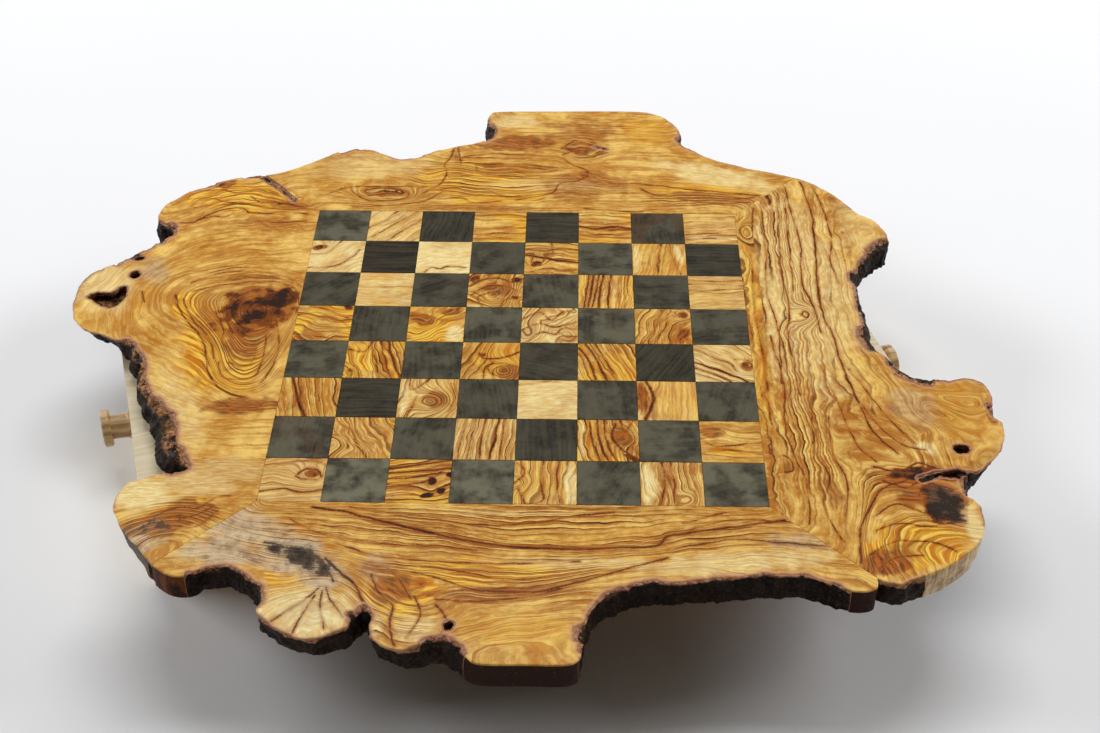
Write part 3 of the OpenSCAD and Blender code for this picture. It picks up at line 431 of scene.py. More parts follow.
FRONT_SLAB = {
    "run": 0, "veins": 0.35,
    "rings": [
        (-150, [(-150, -153), (0, -153), (150, -153)]),
        (-162, [(-150, -158), (-60, -160), (-10, -166), (30, -164), (70, -160), (110, -156)]),
        (-180, [(-160, -162), (-130, -160), (-100, -166), (-60, -174), (-20, -182), (20, -187),
            (60, -187), (85, -184), (96, -177), (120, -171), (150, -166), (182, -170)]),
        (-200, [(-150, -178), (-110, -186), (-80, -196), (-50, -200), (0, -200), (50, -197),
            (100, -190), (150, -183), (196, -190)]),
        (-216, [(-70, -204), (-40, -212), (-10, -218), (20, -214), (50, -207), (100, -200),
            (150, -195), (200, -206)]),
        (-236, [(-30, -228), (0, -228), (30, -220), (60, -213), (110, -207)]),
        (-262, [(-14, -262), (14, -258), (38, -248)]),
        (-232, [(-96, -204), (-84, -214), (-78, -228), (-66, -240)]),
        (-218, [(-84, -204), (-70, -212), (-58, -224), (-44, -232)]),
        (-246, [(-80, -246), (-72, -238), (-65, -246), (-70, -258), (-77, -256), (-80, -246)]),
        (-235, [(-200, -206), (-170, -196), (-140, -206), (-124, -216)]),
        (-262, [(-134, -238), (-118, -224), (-100, -222), (-88, -236), (-96, -252), (-118, -254)]),
    ],
    "strokes": [
        (2.2, 0.85, [(-118, -156), (-92, -162), (-62, -172), (-34, -180), (-6, -186), (30, -188)]),
        (1.7, 0.8, [(20, -188), (60, -187), (84, -185), (90, -178), (104, -174), (130, -169),
            (160, -162)]),
        (1.2, 0.6, [(-96, -156), (-60, -162), (-20, -169), (10, -168), (40, -161), (60, -158)]),
        (1.1, 0.6, [(-130, -166), (-110, -178), (-80, -184), (-50, -186), (-20, -190)]),
        (1.1, 0.55, [(-100, -186), (-80, -194), (-50, -199), (-10, -200), (40, -198)]),
        (1.5, 0.75, [(-56, -208), (-40, -212), (-20, -220), (10, -222), (34, -216), (60, -206),
            (90, -194)]),
        (1.3, 0.7, [(-40, -228), (-16, -229), (10, -226), (30, -219)]),
        (1.1, 0.6, [(-50, -204), (-30, -206), (-6, -212), (20, -210)]),
        (1.4, 0.7, [(90, -188), (112, -182), (134, -179), (156, -181), (186, -184)]),
        (1.0, 0.5, [(100, -166), (130, -156), (150, -155)]),
        (1.0, 0.5, [(104, -172), (130, -163), (168, -164)]),
        (2.0, 0.8, [(-106, -198), (-94, -210), (-84, -222), (-79, -234)]),
        (1.6, 0.7, [(-142, -186), (-122, -192), (-104, -206), (-98, -216)]),
        (0.9, 0.6, [(-130, -246), (-116, -232), (-106, -220)]),
        (0.8, 0.5, [(-118, -256), (-114, -242), (-108, -226)]),
        (0.8, 0.5, [(-100, -250), (-104, -236), (-104, -222)]),
        (0.8, 0.45, [(-90, -242), (-98, -230), (-102, -220)]),
        (1.4, 0.75, [(-78, -210), (-72, -224), (-64, -234), (-64, -250), (-60, -262)]),
        (1.2, 0.5, [(-52, -226), (-48, -240), (-54, -256)]),
        (1.4, 0.75, [(-40, -232), (-33, -244), (-38, -258)]),
        (1.0, 0.6, [(-70, -204), (-62, -214), (-54, -228)]),
    ],
    "bark": [(2.6, [(-86, -240), (-81, -250), (-82, -262)]), (1.4, [(-32, -245), (-32, -249)])],
    # The ink tints on these front-facing sawn walls are partly dark wood and partly painted shade
    "sawn": [(-196, -210, 14, "ink", 0.7), (9, -276, 35, "ink", 2.0), (204, -216, 13, "ink", 1.4)],
    "skin": [(52, -232, 14), (62, -220, 16), (-172, -206, 16), (-150, -212, 16), (-140, -226, 12),
        (-82, -240, 10), (-36, -256, 14), (-22, -268, 12), (46, -242, 18), (56, -224, 16),
        (78, -214, 22), (112, -212, 24), (146, -207, 22), (174, -209, 18)],
    "dry": [(44, -256, 12)],
    "patches": {
        "veins": [(1.2, 0, -172, 170, 26), (1.2, -10, -212, 90, 20, 4), (1.5, -62, -224, 30, 36),
            (0.9, -130, -196, 36, 22, -20)],
        "grey": [(1.0, -128, -192, 36, 18, -30), (0.9, -108, -206, 22, 16, -40),
            (1.0, -126, -196, 26, 10, -30), (0.9, -154, -176, 34, 18, -20),
            (0.9, -166, -194, 30, 13), (0.9, -110, -208, 12, 10), (0.5, -76, -204, 12, 14),
            (0.2, -112, -238, 26, 20), (0.5, 168, -180, 24, 8), (0.5, 52, -234, 5, 22, -30)],
        "ink": [(0.74, -118, -198, 26, 10, -30)],
        "brown": [(0.6, -70, -208, 24, 14, -20), (0.8, -62, -220, 18, 18), (0.7, 0, -224, 56, 6, 8),
            (0.5, 50, -156, 90, 4), (0.9, -56, -174, 60, 4, -16), (0.8, 20, -187, 60, 3),
            (0.8, -10, -221, 60, 4, 6), (0.7, 88, -182, 10, 5, 20), (0.5, -60, -166, 50, 8, -14)],
        "gold": [(1.0, -58, -222, 28, 22), (0.8, -130, -214, 12, 9), (0.9, -20, -206, 54, 14),
            (0.5, 10, -250, 44, 18), (0.4, 40, -176, 90, 12)],
        "pale": [(1.0, -112, -240, 34, 24), (0.3, -172, -194, 22, 12, 10), (0.8, -73, -248, 6, 10),
            (0.7, 130, -197, 66, 10, 6), (0.5, 40, -199, 70, 5), (0.5, 0, -160, 60, 3),
            (0.4, -190, -190, 20, 10), (0.7, -50, -250, 14, 10)],
    },
}
FILLER_STRIP = {
    "run": 90, "veins": 0.9,
    "rings": [
        (152, [(152, 160), (152, -160)]),
        (163, [(164, 160), (163, 40), (165, -60), (164, -160)]),
        (172, [(154, 129), (157, 137), (161, 129), (157, 121), (154, 129)]),
    ],
    "strokes": [
        (1.0, 0.6, [(160, 100), (158, 30), (160, -40), (157, -110)]),
        (0.9, 0.6, [(155, 60), (154, 0), (156, -60)]),
        (0.9, 0.6, [(154, 129), (157, 137), (161, 129), (157, 121), (154, 129)]),
    ],
    "patches": {
        "gold": [(0.6, 157, 0, 8, 160)],
        "brown": [(0.4, 157, 128, 5, 12)],
    },
}
FIGURES = {
    "left_slab": LEFT_SLAB, "back_slab": BACK_SLAB, "right_slab": RIGHT_SLAB,
    "front_slab": FRONT_SLAB, "filler_strip": FILLER_STRIP,
}
KINDS = ("brown", "pale", "gold", "grey", "ink", "veins", "bark")
# The depth of ink or bark, in millimetres, where there is none, and the most that bark is given
OUTSIDE = -4
DEEPEST = 12


def oval(points, ragged, x, y, length, width, turn=0):
    """1 at the middle of a ragged oval, falling to 0 at its edge."""
    a = math.radians(turn)
    dx, dy = points[:, 0] - x, points[:, 1] - y
    u = (dx * math.cos(a) + dy * math.sin(a)) / length
    v = (dy * math.cos(a) - dx * math.sin(a)) / width
    return 1 - smooth(np.hypot(u, v) + ragged, 0.45, 1.1)


def blank(count):
    """Empty tints. Ink and bark are depths in millimetres, below 0 outside."""
    tints = {kind: np.zeros(count) for kind in KINDS}
    tints["ink"] += OUTSIDE
    tints["bark"] += OUTSIDE
    return tints


def wandering(line):
    """A drawn line as it runs in the wood, in even steps."""
    step = 0.9
    line = through(line)
    far = np.r_[0, np.cumsum(np.hypot(*np.diff(line, axis=0).T))]
    steps = np.linspace(0, far[-1], int(far[-1] / step) + 2)
    line = np.c_[np.interp(steps, far, line[:, 0]), np.interp(steps, far, line[:, 1])]
    return line + drift(line, 9, (8, 9), 3, 2.2)


def drawn(points, tints, patches, strokes):
    """Adds drawn patches and strokes to the tints."""
    ragged = sway(points, 8, 5, 3, 0.8)
    blotchy = sway(points, 5, 12, 3, 2.6)
    for kind, spots in patches.items():
        for amount, *spot in spots:
            tint = amount * oval(points, ragged, *spot)
            if kind == "ink":
                tint = np.where(tint > 0.05, 2.4 * tint - 1.3 + blotchy, OUTSIDE)
            tints[kind] = np.maximum(tints[kind], tint)
    thin = 0.9 * smooth(noise(points, 10, 11, 2), 0.62, 0.36)
    margin = 4
    for width, darkness, line in strokes:
        line = wandering(line)
        low, high = line.min(0) - margin, line.max(0) + margin
        near = np.all((points > low) & (points < high), axis=1)
        if near.any():
            half = 0.5 * width * (0.35 + 0.7 * darkness)
            depth = half - distance_to(points[near], line) - (1.15 - darkness) * thin[near]
            tints["ink"][near] = np.maximum(tints["ink"][near], depth)


def figure_of(points, name):
    """Rings, run and the tints of a piece of wood at each point."""
    figure = FIGURES[name]
    field = RingField(points.min(0), points.max(0), figure["rings"])
    a = math.radians(figure["run"])
    along = points @ (math.cos(a), math.sin(a))
    across = points @ (-math.sin(a), math.cos(a))
    rings = field.at(points + drift(points, 45, (1, 2), 2, 6)) + 0.3 * across
    rings += sway(points, 13, 3, 2, 2.2)
    tints = blank(len(points))
    tints["veins"] += figure["veins"]
    drawn(points, tints, figure["patches"], figure["strokes"])
    for width, line in figure.get("bark", []):
        ragged = width * (0.3 + 1.4 * noise(points, 7, 51, 2))
        seam = 2 * (ragged - distance_to(points, through(line)))
        tints["bark"] = np.maximum(tints["bark"], seam)
    return rings, along, tints


def rgb(*colour):
    """A colour as it is seen, 0 to 255, as the linear one that a shader takes."""
    return (*(((c / 255 + 0.055) / 1.055) ** 2.4 if c > 10 else c / 3294.6 for c in colour), 1.0)


# Olive wood: its body, then what lies over it. Of two colours, the first is where a layer is low
BODY = rgb(246, 204, 110), rgb(200, 138, 50)
BANDS = rgb(180, 112, 36)
MOTTLE = rgb(170, 106, 36)
RIPPLE = rgb(255, 220, 126)
GOLD = rgb(255, 210, 76), rgb(204, 120, 20)
PALE = rgb(255, 242, 182), rgb(242, 206, 130)
GREY = rgb(218, 196, 162), rgb(136, 114, 94)
BROWN = rgb(184, 92, 24), rgb(80, 32, 9)
# Its growth lines: pale before, fine ones, the glow that leads to a dark one, and the dark one
LINE_PALE = rgb(255, 224, 126)
LINE_FINE = rgb(150, 80, 22)
LINE_GLOW = rgb(172, 98, 28)
LINE_DARK = rgb(84, 38, 10)
FIBRE = rgb(150, 92, 34)
# Strokes and spots, from their soft edge to their middle: in golden wood, and in grey wood. They
# also colour the sawn walls given an ink tint, where on the front-facing walls they are partly
# painted shade
INK_EDGE = rgb(170, 96, 28), rgb(132, 112, 90)
INK_RIM = rgb(118, 60, 18), rgb(86, 70, 54)
INK = rgb(42, 20, 9), rgb(46, 36, 28)
# Bark, the dry husk and the skin that lie bare on it, and the wood's edge beside it. The bark's
# lighter chunks and grit are partly its own flecks and partly painted glints
CRUST = rgb(12, 9, 7), rgb(40, 27, 19)
CRUST_CHUNKS_AND_GLINTS = rgb(76, 54, 38)
CRUST_GRIT_AND_GLINTS = rgb(140, 122, 98)
HUSK = rgb(200, 148, 96), rgb(120, 68, 38)
HUSK_PITS = rgb(22, 14, 10)
SKIN = rgb(124, 74, 54), rgb(196, 146, 118)
EDGE = rgb(206, 156, 118), rgb(128, 78, 54)
# Black-stained squares. Their light cloud is partly the stain's own unevenness and partly painted
# sheen
STAINED = rgb(26, 22, 16), rgb(60, 54, 40)
STAINED_FIBRE = rgb(32, 28, 20)
STAINED_MOTTLE = rgb(86, 80, 60)
STAINED_CLOUD_AND_SHEEN = rgb(116, 112, 92)
STAINED_BROWN = rgb(84, 54, 28)
# The base, the drawers, the knobs, the men, the core and the screws
BASE = rgb(238, 226, 198), rgb(224, 206, 168)
ACROSS = rgb(238, 226, 198), rgb(226, 209, 172)
KNOB = rgb(214, 184, 136), rgb(150, 110, 70)
LIGHT_MEN = rgb(226, 178, 104), rgb(160, 98, 44)
DARK_MEN = rgb(66, 50, 42), rgb(30, 24, 22)
PLIES = rgb(214, 178, 126), rgb(172, 128, 82)
PLY_FIBRE = rgb(150, 108, 66)
STEEL = rgb(150, 150, 152), rgb(196, 196, 198)
FLOOR = rgb(250, 251, 254), rgb(247, 248, 252)


class Tree:
    """A material's node tree, with one short call for each kind of node."""

    def __init__(self, name):
        self.material = bpy.data.materials.new(name)
        self.material.use_nodes = True
        self.nodes = self.material.node_tree.nodes
        self.links = self.material.node_tree.links
        self.shader = self.nodes["Principled BSDF"]

    def node(self, kind, inputs=(), **settings):
        node = self.nodes.new(kind)
        for key, value in settings.items():
            setattr(node, key, value)
        for key, value in dict(inputs).items():
            self.set(node.inputs[key], value)
        return node

    def set(self, socket, value):
        if isinstance(value, bpy.types.NodeSocket):
            self.links.new(value, socket)
        else:
            socket.default_value = value

    def feed(self, name, value):
        """What varies over the surface, into a socket of the shader."""
        self.links.new(value, self.shader.inputs[name])

    def constants(self, values):
        """What is the same all over, on the shader's own sockets."""
        for name, value in values.items():
            self.shader.inputs[name].default_value = value

    def split(self, vector):
        return self.node("ShaderNodeSeparateXYZ", {0: vector}).outputs

    def join(self, x=0.0, y=0.0, z=0.0):
        return self.node("ShaderNodeCombineXYZ", {0: x, 1: y, 2: z}).outputs[0]

    def carried(self, name):
        """The three values that each vertex carries under a name."""
        return self.split(self.node("ShaderNodeAttribute", attribute_name=name).outputs["Vector"])

    def math(self, operation, a, b=0.0, c=0.0, clamp=False):
        node = self.node("ShaderNodeMath", {0: a, 1: b, 2: c}, operation=operation)
        node.use_clamp = clamp
        return node.outputs[0]

    def times(self, a, b, clamp=False):
        return self.math("MULTIPLY", a, b, clamp=clamp)

    def scaled(self, value, factor, offset):
        """A value times a factor, plus an offset."""
        return self.math("MULTIPLY_ADD", value, factor, offset)

    def swing(self, value, reach, offset=0.0):
        """A noise as a swing to both sides of an offset."""
        return self.scaled(self.math("SUBTRACT", value, 0.5), reach, offset)

    def noise(self, vector, scale, detail, rough=0.5):
        inputs = {"Vector": vector, "Scale": scale, "Detail": detail, "Roughness": rough}
        return self.node("ShaderNodeTexNoise", inputs).outputs[0]

    def grain(self, rings, along, fine, long, seed, detail, rough=0.5):
        """Noise drawn out along the wood: how fine it is across it and along it, and its seed."""
        spot = self.join(self.times(rings, fine), self.times(along, long), seed)
        return self.noise(spot, 1, detail, rough)

    def step(self, value, low, high, out=(0.0, 1.0)):
        inputs = {"Value": value, "From Min": low, "From Max": high}
        inputs.update({"To Min": out[0], "To Max": out[1]})
        return self.node("ShaderNodeMapRange", inputs, interpolation_type="SMOOTHSTEP").outputs[0]

    def mix(self, factor, a, b):
        inputs = {"Factor": factor, "A": a, "B": b}
        return self.node("ShaderNodeMix", inputs, data_type="RGBA").outputs["Result"]

    def shade(self, layer, low, high, colours):
        """From the first colour to the second as a layer rises from low to high."""
        return self.mix(self.step(layer, low, high), *colours)

    def over(self, base, layer, low, high, colour, amount=1.0):
        """A base, and a colour that covers it as a layer rises from low to high."""
        return self.mix(self.times(self.step(layer, low, high), amount), base, colour)

    def place(self):
        """Place in the row frame, in millimetres."""
        spot = self.node("ShaderNodeTexCoord").outputs["Object"]
        return self.node("ShaderNodeVectorMath", {0: spot, 3: 1 / MM}, operation="SCALE").outputs[0]

    def bump(self, height, distance, strength):
        inputs = {"Height": height, "Distance": distance * MM, "Strength": strength}
        return self.node("ShaderNodeBump", inputs).outputs[0]


VARNISH = {"Coat Roughness": 0.15, "Specular IOR Level": 0.03}


def growth_lines(t, rings, along, pitch, seed):
    """Phase and strength of lines that darken slowly across the rings and end sharply."""
    wander = t.times(t.grain(rings, along, 0.3 / pitch, 0.006, seed, 2), 3.0)
    level = t.scaled(rings, 1 / pitch, wander)
    number = t.math("FLOOR", level)
    own = t.node("ShaderNodeTexWhiteNoise", {"W": number}, noise_dimensions="1D").outputs[0]
    strength = t.scaled(own, 0.5, t.grain(number, along, 3.7, 0.015, seed, 1))
    return t.math("FRACT", level), t.step(strength, 0.45, 0.95)


def olive_wood(t):
    """The colour and relief of olive wood, whose veins follow the rings that the mesh carries."""
    rings, along, veins = t.carried("figure")
    brown, pale, gold = t.carried("tint")
    grey, ink, bark = t.carried("shade")
    place = t.place()
    rings = t.swing(t.noise(place, 0.055, 2), 5.0, rings)
    rings = t.swing(t.noise(place, 0.2, 3, 0.6), t.scaled(veins, 0.9, 0.5), rings)
    zones = t.grain(rings, along, 0.055, 0.005, 0.0, 2)
    bands = t.grain(rings, along, 0.16, 0.009, 3.0, 3)
    streaks = t.grain(rings, along, 0.5, 0.03, 8.0, 3, 0.6)
    ripple = t.grain(rings, along, 0.55, 0.11, 14.0, 3, 0.65)
    fibre = t.grain(rings, along, 2.6, 0.12, 5.0, 2, 0.6)
    wide, wide_strength = growth_lines(t, rings, along, 5.0, 9.0)
    fine, fine_strength = growth_lines(t, rings, along, 1.7, 17.0)
    cloud = t.noise(place, 0.035, 3, 0.6)
    mottle = t.noise(place, 0.16, 3, 0.65)

    patchy = t.step(t.swing(streaks, 1.5, brown), 0.2, 0.65)
    brown = t.times(patchy, t.step(brown, 0.0, 1.0, (0.0, 0.95)))
    patchy = t.step(t.swing(streaks, 1.5, gold), 0.0, 0.6)
    gold = t.times(patchy, t.step(gold, 0.0, 0.9))
    base = t.shade(cloud, 0.38, 0.62, BODY)
    base = t.over(base, bands, 0.44, 0.58, BANDS, t.scaled(veins, 0.25, 0.7))
    base = t.over(base, mottle, 0.46, 0.64, MOTTLE, t.scaled(veins, 0.3, 0.28))
    base = t.over(base, ripple, 0.55, 0.36, RIPPLE, t.scaled(veins, 0.2, 0.36))
    base = t.mix(gold, base, t.shade(streaks, 0.4, 0.6, GOLD))
    base = t.mix(pale, base, t.shade(ripple, 0.35, 0.65, PALE))
    smudge = t.scaled(mottle, 0.5, t.times(streaks, 0.5))
    base = t.mix(grey, base, t.shade(smudge, 0.42, 0.64, GREY))
    base = t.mix(brown, base, t.shade(ripple, 0.4, 0.6, BROWN))

    amount = t.times(t.step(zones, 0.3, 0.5), veins)
    amount = t.times(amount, t.step(t.noise(place, 0.04, 2), 0.2, 0.4))
    amount = t.times(amount, t.scaled(pale, -0.4, 1.0))
    strong = t.times(wide_strength, amount)
    hairs = t.times(fine_strength, amount)
    base = t.over(base, wide, 0.5, 0.1, LINE_PALE, t.times(amount, 0.5))
    base = t.over(base, fine, 0.3, 0.9, LINE_FINE, t.times(hairs, 0.9))
    base = t.over(base, wide, 0.3, 0.9, LINE_GLOW, t.times(strong, 0.8))
    line = t.times(t.step(wide, 0.78, 0.9), t.times(strong, 1.3), clamp=True)
    base = t.mix(line, base, LINE_DARK)
    base = t.over(base, fibre, 0.46, 0.68, FIBRE, 0.22)

    frayed = t.swing(streaks, 2.2, t.swing(t.noise(place, 0.7, 3, 0.6), 1.5, ink))
    base = t.over(base, frayed, -2.2, 0.0, t.mix(grey, *INK_EDGE), 0.55)
    base = t.over(base, frayed, -0.35, 0.15, t.mix(grey, *INK_RIM))
    base = t.over(base, frayed, 0.3, 1.0, t.mix(grey, *INK))
    relief = t.scaled(line, -0.5, t.scaled(fibre, 0.25, cloud))
    return base, relief, bark, grey, place


def bark_wood(t, bark, dry, place):
    """The colour and relief of bark, reddish beside the wood and nearly black farther out, with
    lighter chunks and grit that are partly painted glints.
    """
    coarse = t.noise(place, 0.13, 4, 0.65)
    chunk = t.noise(place, 0.4, 4, 0.7)
    grit = t.noise(place, 1.1, 3, 0.7)
    base = t.shade(coarse, 0.36, 0.66, CRUST)
    # Lighter chunks and grey grit: partly the bark's own flecks, partly painted glints
    base = t.over(base, chunk, 0.52, 0.66, CRUST_CHUNKS_AND_GLINTS, 0.6)
    base = t.over(base, grit, 0.6, 0.7, CRUST_GRIT_AND_GLINTS, 0.5)
    husk = t.shade(chunk, 0.4, 0.6, HUSK)
    husk = t.over(husk, t.scaled(grit, 0.4, coarse), 0.68, 0.78, HUSK_PITS)
    inner = t.swing(coarse, 5.0, bark)
    base = t.over(base, inner, 8.0, 3.5, husk, dry)
    base = t.over(base, inner, 3.0, 1.8, t.shade(chunk, 0.4, 0.62, SKIN))
    relief = t.scaled(grit, 0.3, t.scaled(chunk, 0.8, coarse))
    return base, relief


def olive_material(name):
    """Varnished olive wood, and its bark where a vertex lies in it."""
    t = Tree(name)
    wood, wood_relief, bark, dry, place = olive_wood(t)
    crust, crust_relief = bark_wood(t, bark, dry, place)
    ragged = t.swing(t.noise(place, 0.45, 4, 0.65), 3.0, bark)
    share = t.step(ragged, -0.15, 0.25)
    wood = t.over(wood, ragged, -3.8, -2.2, t.shade(ragged, -2.4, -0.2, EDGE), 0.7)
    t.feed("Base Color", t.mix(share, wood, crust))
    t.constants({"Roughness": 0.42, "Coat Weight": 0.06, **VARNISH})
    reliefs = {"Factor": share, 4: t.bump(wood_relief, 0.1, 0.4), 5: t.bump(crust_relief, 1.3, 0.9)}
    t.feed("Normal", t.node("ShaderNodeMix", reliefs, data_type="VECTOR").outputs[1])
    return t.material


def stained_material():
    """Black-stained wood under varnish, with its grain just showing, and light clouds that are
    partly painted sheen.
    """
    t = Tree("stained_wood")
    rings, along, tone = t.carried("figure")
    brown = t.carried("tint")[0]
    place = t.place()
    streak = t.grain(rings, along, 0.45, 0.02, 2.0, 4, 0.65)
    fibre = t.grain(rings, along, 3.0, 0.1, 7.0, 2)
    base = t.shade(streak, 0.38, 0.62, STAINED)
    base = t.over(base, fibre, 0.48, 0.66, STAINED_FIBRE, 0.3)
    base = t.over(base, t.noise(place, 0.3, 4, 0.7), 0.54, 0.68, STAINED_MOTTLE, 0.3)
    # Light clouds as strong as each square's lightness: partly the stain's unevenness, partly
    # painted sheen
    cloud = t.step(t.noise(place, 0.06, 3, 0.6), 0.34, 0.62, (0.15, 1.15))
    base = t.mix(t.times(cloud, tone), base, STAINED_CLOUD_AND_SHEEN)
    base = t.over(base, streak, 0.4, 0.6, STAINED_BROWN, brown)
    t.feed("Base Color", base)
    t.constants({"Roughness": 0.42, "Coat Weight": 0.08, **VARNISH})
    t.feed("Normal", t.bump(t.math("ADD", streak, fibre), 0.1, 0.5))
    return t.material


def plain_wood(name, colours, across=False, rough=0.55, coat=0.0):
    """Sanded or turned wood whose grain runs along the base, or across it."""
    t = Tree(name)
    turned = {"Vector": t.place(), "Angle": -BASE_TURN}
    spot = t.node("ShaderNodeVectorRotate", turned, rotation_type="Z_AXIS").outputs[0]
    u, v, w = t.split(spot)
    run, side = (v, u) if across else (u, v)
    level = t.scaled(t.noise(spot, 0.02, 2), 14.0, t.scaled(w, 0.7, side))
    fibre = t.grain(level, run, 2.4, 0.05, t.times(w, 2.4), 3, 0.6)
    base = t.shade(t.grain(level, run, 0.3, 0.006, 0.0, 3, 0.6), 0.35, 0.68, colours)
    t.feed("Base Color", t.over(base, fibre, 0.5, 0.75, colours[1], 0.3))
    t.constants({"Roughness": rough, "Specular IOR Level": 0.2, "Coat Weight": coat})
    t.constants({"Coat Roughness": 0.15})
    t.feed("Normal", t.bump(fibre, 0.1, 0.5))
    return t.material


def plywood_material():
    """Raw plywood, its plies showing on the edges."""
    t = Tree("plywood")
    x, y, z = t.split(t.place())
    plies = t.shade(t.noise(t.join(t.times(z, 0.9)), 1, 0), 0.4, 0.6, PLIES)
    fibre = t.grain(x, y, 0.05, 1.5, z, 3)
    t.feed("Base Color", t.mix(t.times(fibre, 0.4), plies, PLY_FIBRE))
    t.constants({"Roughness": 0.75})
    return t.material


def steel_material():
    """Steel with fine scratches."""
    t = Tree("screw_steel")
    scratch = t.noise(t.place(), 1.4, 3)
    t.feed("Base Color", t.mix(scratch, *STEEL))
    t.feed("Roughness", t.step(scratch, 0.3, 0.7, (0.28, 0.5)))
    t.constants({"Metallic": 1.0})
    return t.material


def make_mesh(name, points, faces, material):
    """An object of points in millimetres."""
    mesh = bpy.data.meshes.new(name)
    mesh.from_pydata((np.asarray(points) * MM).tolist(), [], [tuple(map(int, f)) for f in faces])
    mesh.materials.append(material)
    mesh.polygons.foreach_set("use_smooth", np.ones(len(mesh.polygons), bool))
    mesh.update()
    obj = bpy.data.objects.new(name, mesh)
    bpy.context.scene.collection.objects.link(obj)
    return obj


def make_piece(name, points, faces, figure, material, sharp):
    """A mesh that carries the wood's figure and keeps its edges over an angle in degrees sharp."""
    obj = make_mesh(name, points, faces, material)
    rings, along, tints = figure
    for title, parts in (("figure", (rings, along, tints["veins"])),
                         ("tint", (tints["brown"], tints["pale"], tints["gold"])),
                         ("shade", (tints["grey"], tints["ink"], tints["bark"]))):
        attribute = obj.data.attributes.new(title, "FLOAT_VECTOR", "POINT")
        attribute.data.foreach_set("vector", np.stack(parts, 1).astype(np.float32).ravel())
    obj.data.set_sharp_from_angle(angle=math.radians(sharp))
    return obj


def top_loops(node):
    """The outlines of a node's top, seen from above: the outer one, then its holes."""
    mesh = frame["nodes"][node].data
    corners = np.array([v.co for v in mesh.vertices]) / MM
    keys = [tuple(k) for k in np.round(corners * 100).astype(int)]
    place = {}
    directed = set()
    for face in mesh.polygons:
        if face.normal.z > 0.99 and abs(face.center.z / MM - TOP) < 0.01:
            ids = [keys[i] for i in face.vertices]
            directed.update(zip(ids, ids[1:] + ids[:1]))
            place.update((keys[i], corners[i, :2]) for i in face.vertices)
    after = {a: b for a, b in directed if (b, a) not in directed}
    loops = []
    while after:
        start, here = next(iter(after.items()))
        del after[start]
        loop = [start]
        while here != start:
            loop.append(here)
            here = after.pop(here)
        loops.append(np.array([place[k] for k in loop]))
    return sorted(loops, key=lambda p: -np.ptp(p, axis=0).prod())


def inside(points, loop):
    """Which points lie inside a closed outline."""
    odd = np.zeros(len(points), bool)
    x, y = points.T
    for a, b in zip(loop, np.roll(loop, -1, axis=0)):
        if a[1] != b[1]:
            crosses = (a[1] > y) != (b[1] > y)
            odd ^= crosses & (x < a[0] + (y - a[1]) * (b[0] - a[0]) / (b[1] - a[1]))
    return odd


def between(points, outer, holes):
    """Which points lie inside the outer outline and in none of its holes."""
    keep = inside(points, outer)
    for hole in holes:
        keep &= ~inside(points, hole)
    return keep


def on_joint(p):
    """Whether a point of an outline lies on a mitre or along the field."""
    x, y = abs(p[0]), abs(p[1])
    near = 0.05
    mitre = abs(x - y) < near
    side = y < HALF + FILLER + near and min(abs(x - HALF), abs(p[0] - HALF - FILLER)) < near
    return mitre or side or (abs(y - HALF) < near and x < HALF + near)


# Lengths of the steps round an outline and round a pocket, of the triangles on top and underneath,
# and how much longer the steps are along a joint
STEP = 1.0
POCKET_STEP = 0.8
TOP_GRID = 1.25
UNDER_GRID = 12.0
JOINT_STRETCH = 1.6


def resample(loop, step):
    """Points at even steps round an outline, and which of them lie on a joint."""
    points, joint = [], []
    flags = [on_joint(p) for p in loop]
    count = len(loop)
    for i in range(count):
        a, b = loop[i], loop[(i + 1) % count]
        straight = flags[i] and flags[(i + 1) % count]
        length = step * (JOINT_STRETCH if straight else 1)
        pieces = max(1, int(round(np.hypot(*(b - a)) / length)))
        for k in range(pieces):
            points.append(a + (b - a) * k / pieces)
            joint.append(flags[i] and (straight or k == 0))
    return np.array(points), np.array(joint)


def normals_of(loop):
    """The way out of an outline at each of its points."""
    ahead = np.roll(loop, -1, axis=0) - np.roll(loop, 1, axis=0)
    n = np.c_[ahead[:, 1], -ahead[:, 0]]
    return n / np.maximum(np.hypot(*n.T), 1e-9)[:, None]


def blur(values, passes):
    """Values round an outline, each softened by its neighbours."""
    for _ in range(passes):
        values = (np.roll(values, 1, axis=0) + 2 * values + np.roll(values, -1, axis=0)) / 4
    return values


# Heights at which the solid's wall is felt, as shares of the slab from its underside
EDGE_LEVELS = (0.985, 0.8, 0.42, 0.02)


def leans(solid, loop, normal, joint):
    """How far the solid's wall stands out at each of the edge's levels, under its top outline."""
    inset = 1.2
    up_reach, side_reach = 0.03, 0.02
    out = np.zeros((len(loop), len(EDGE_LEVELS)))
    for i, (p, n) in enumerate(zip(loop, normal)):
        if joint[i]:
            continue
        for k, share in enumerate(EDGE_LEVELS):
            start = Vector((*(p - inset * n), SLAB_BOTTOM + THICKNESS * share)) * MM
            above = solid.ray_cast(start, Vector((0, 0, 1)), up_reach)
            way = 1 if above[0] is not None and above[1].z > 0 else -1
            hit = solid.ray_cast(start, Vector((*(way * n), 0)), side_reach)
            if hit[0] is not None:
                out[i, k] = way * hit[3] / MM - inset
    return out


def nearest(points, others):
    """Each point's distance to the nearest of some others, and the number of that one."""
    tree = KDTree(len(others))
    for i, p in enumerate(others):
        tree.insert((*p, 0), i)
    tree.balance()
    found = [tree.find((*p, 0)) for p in points]
    return np.array([f[2] for f in found]), np.array([f[1] for f in found])


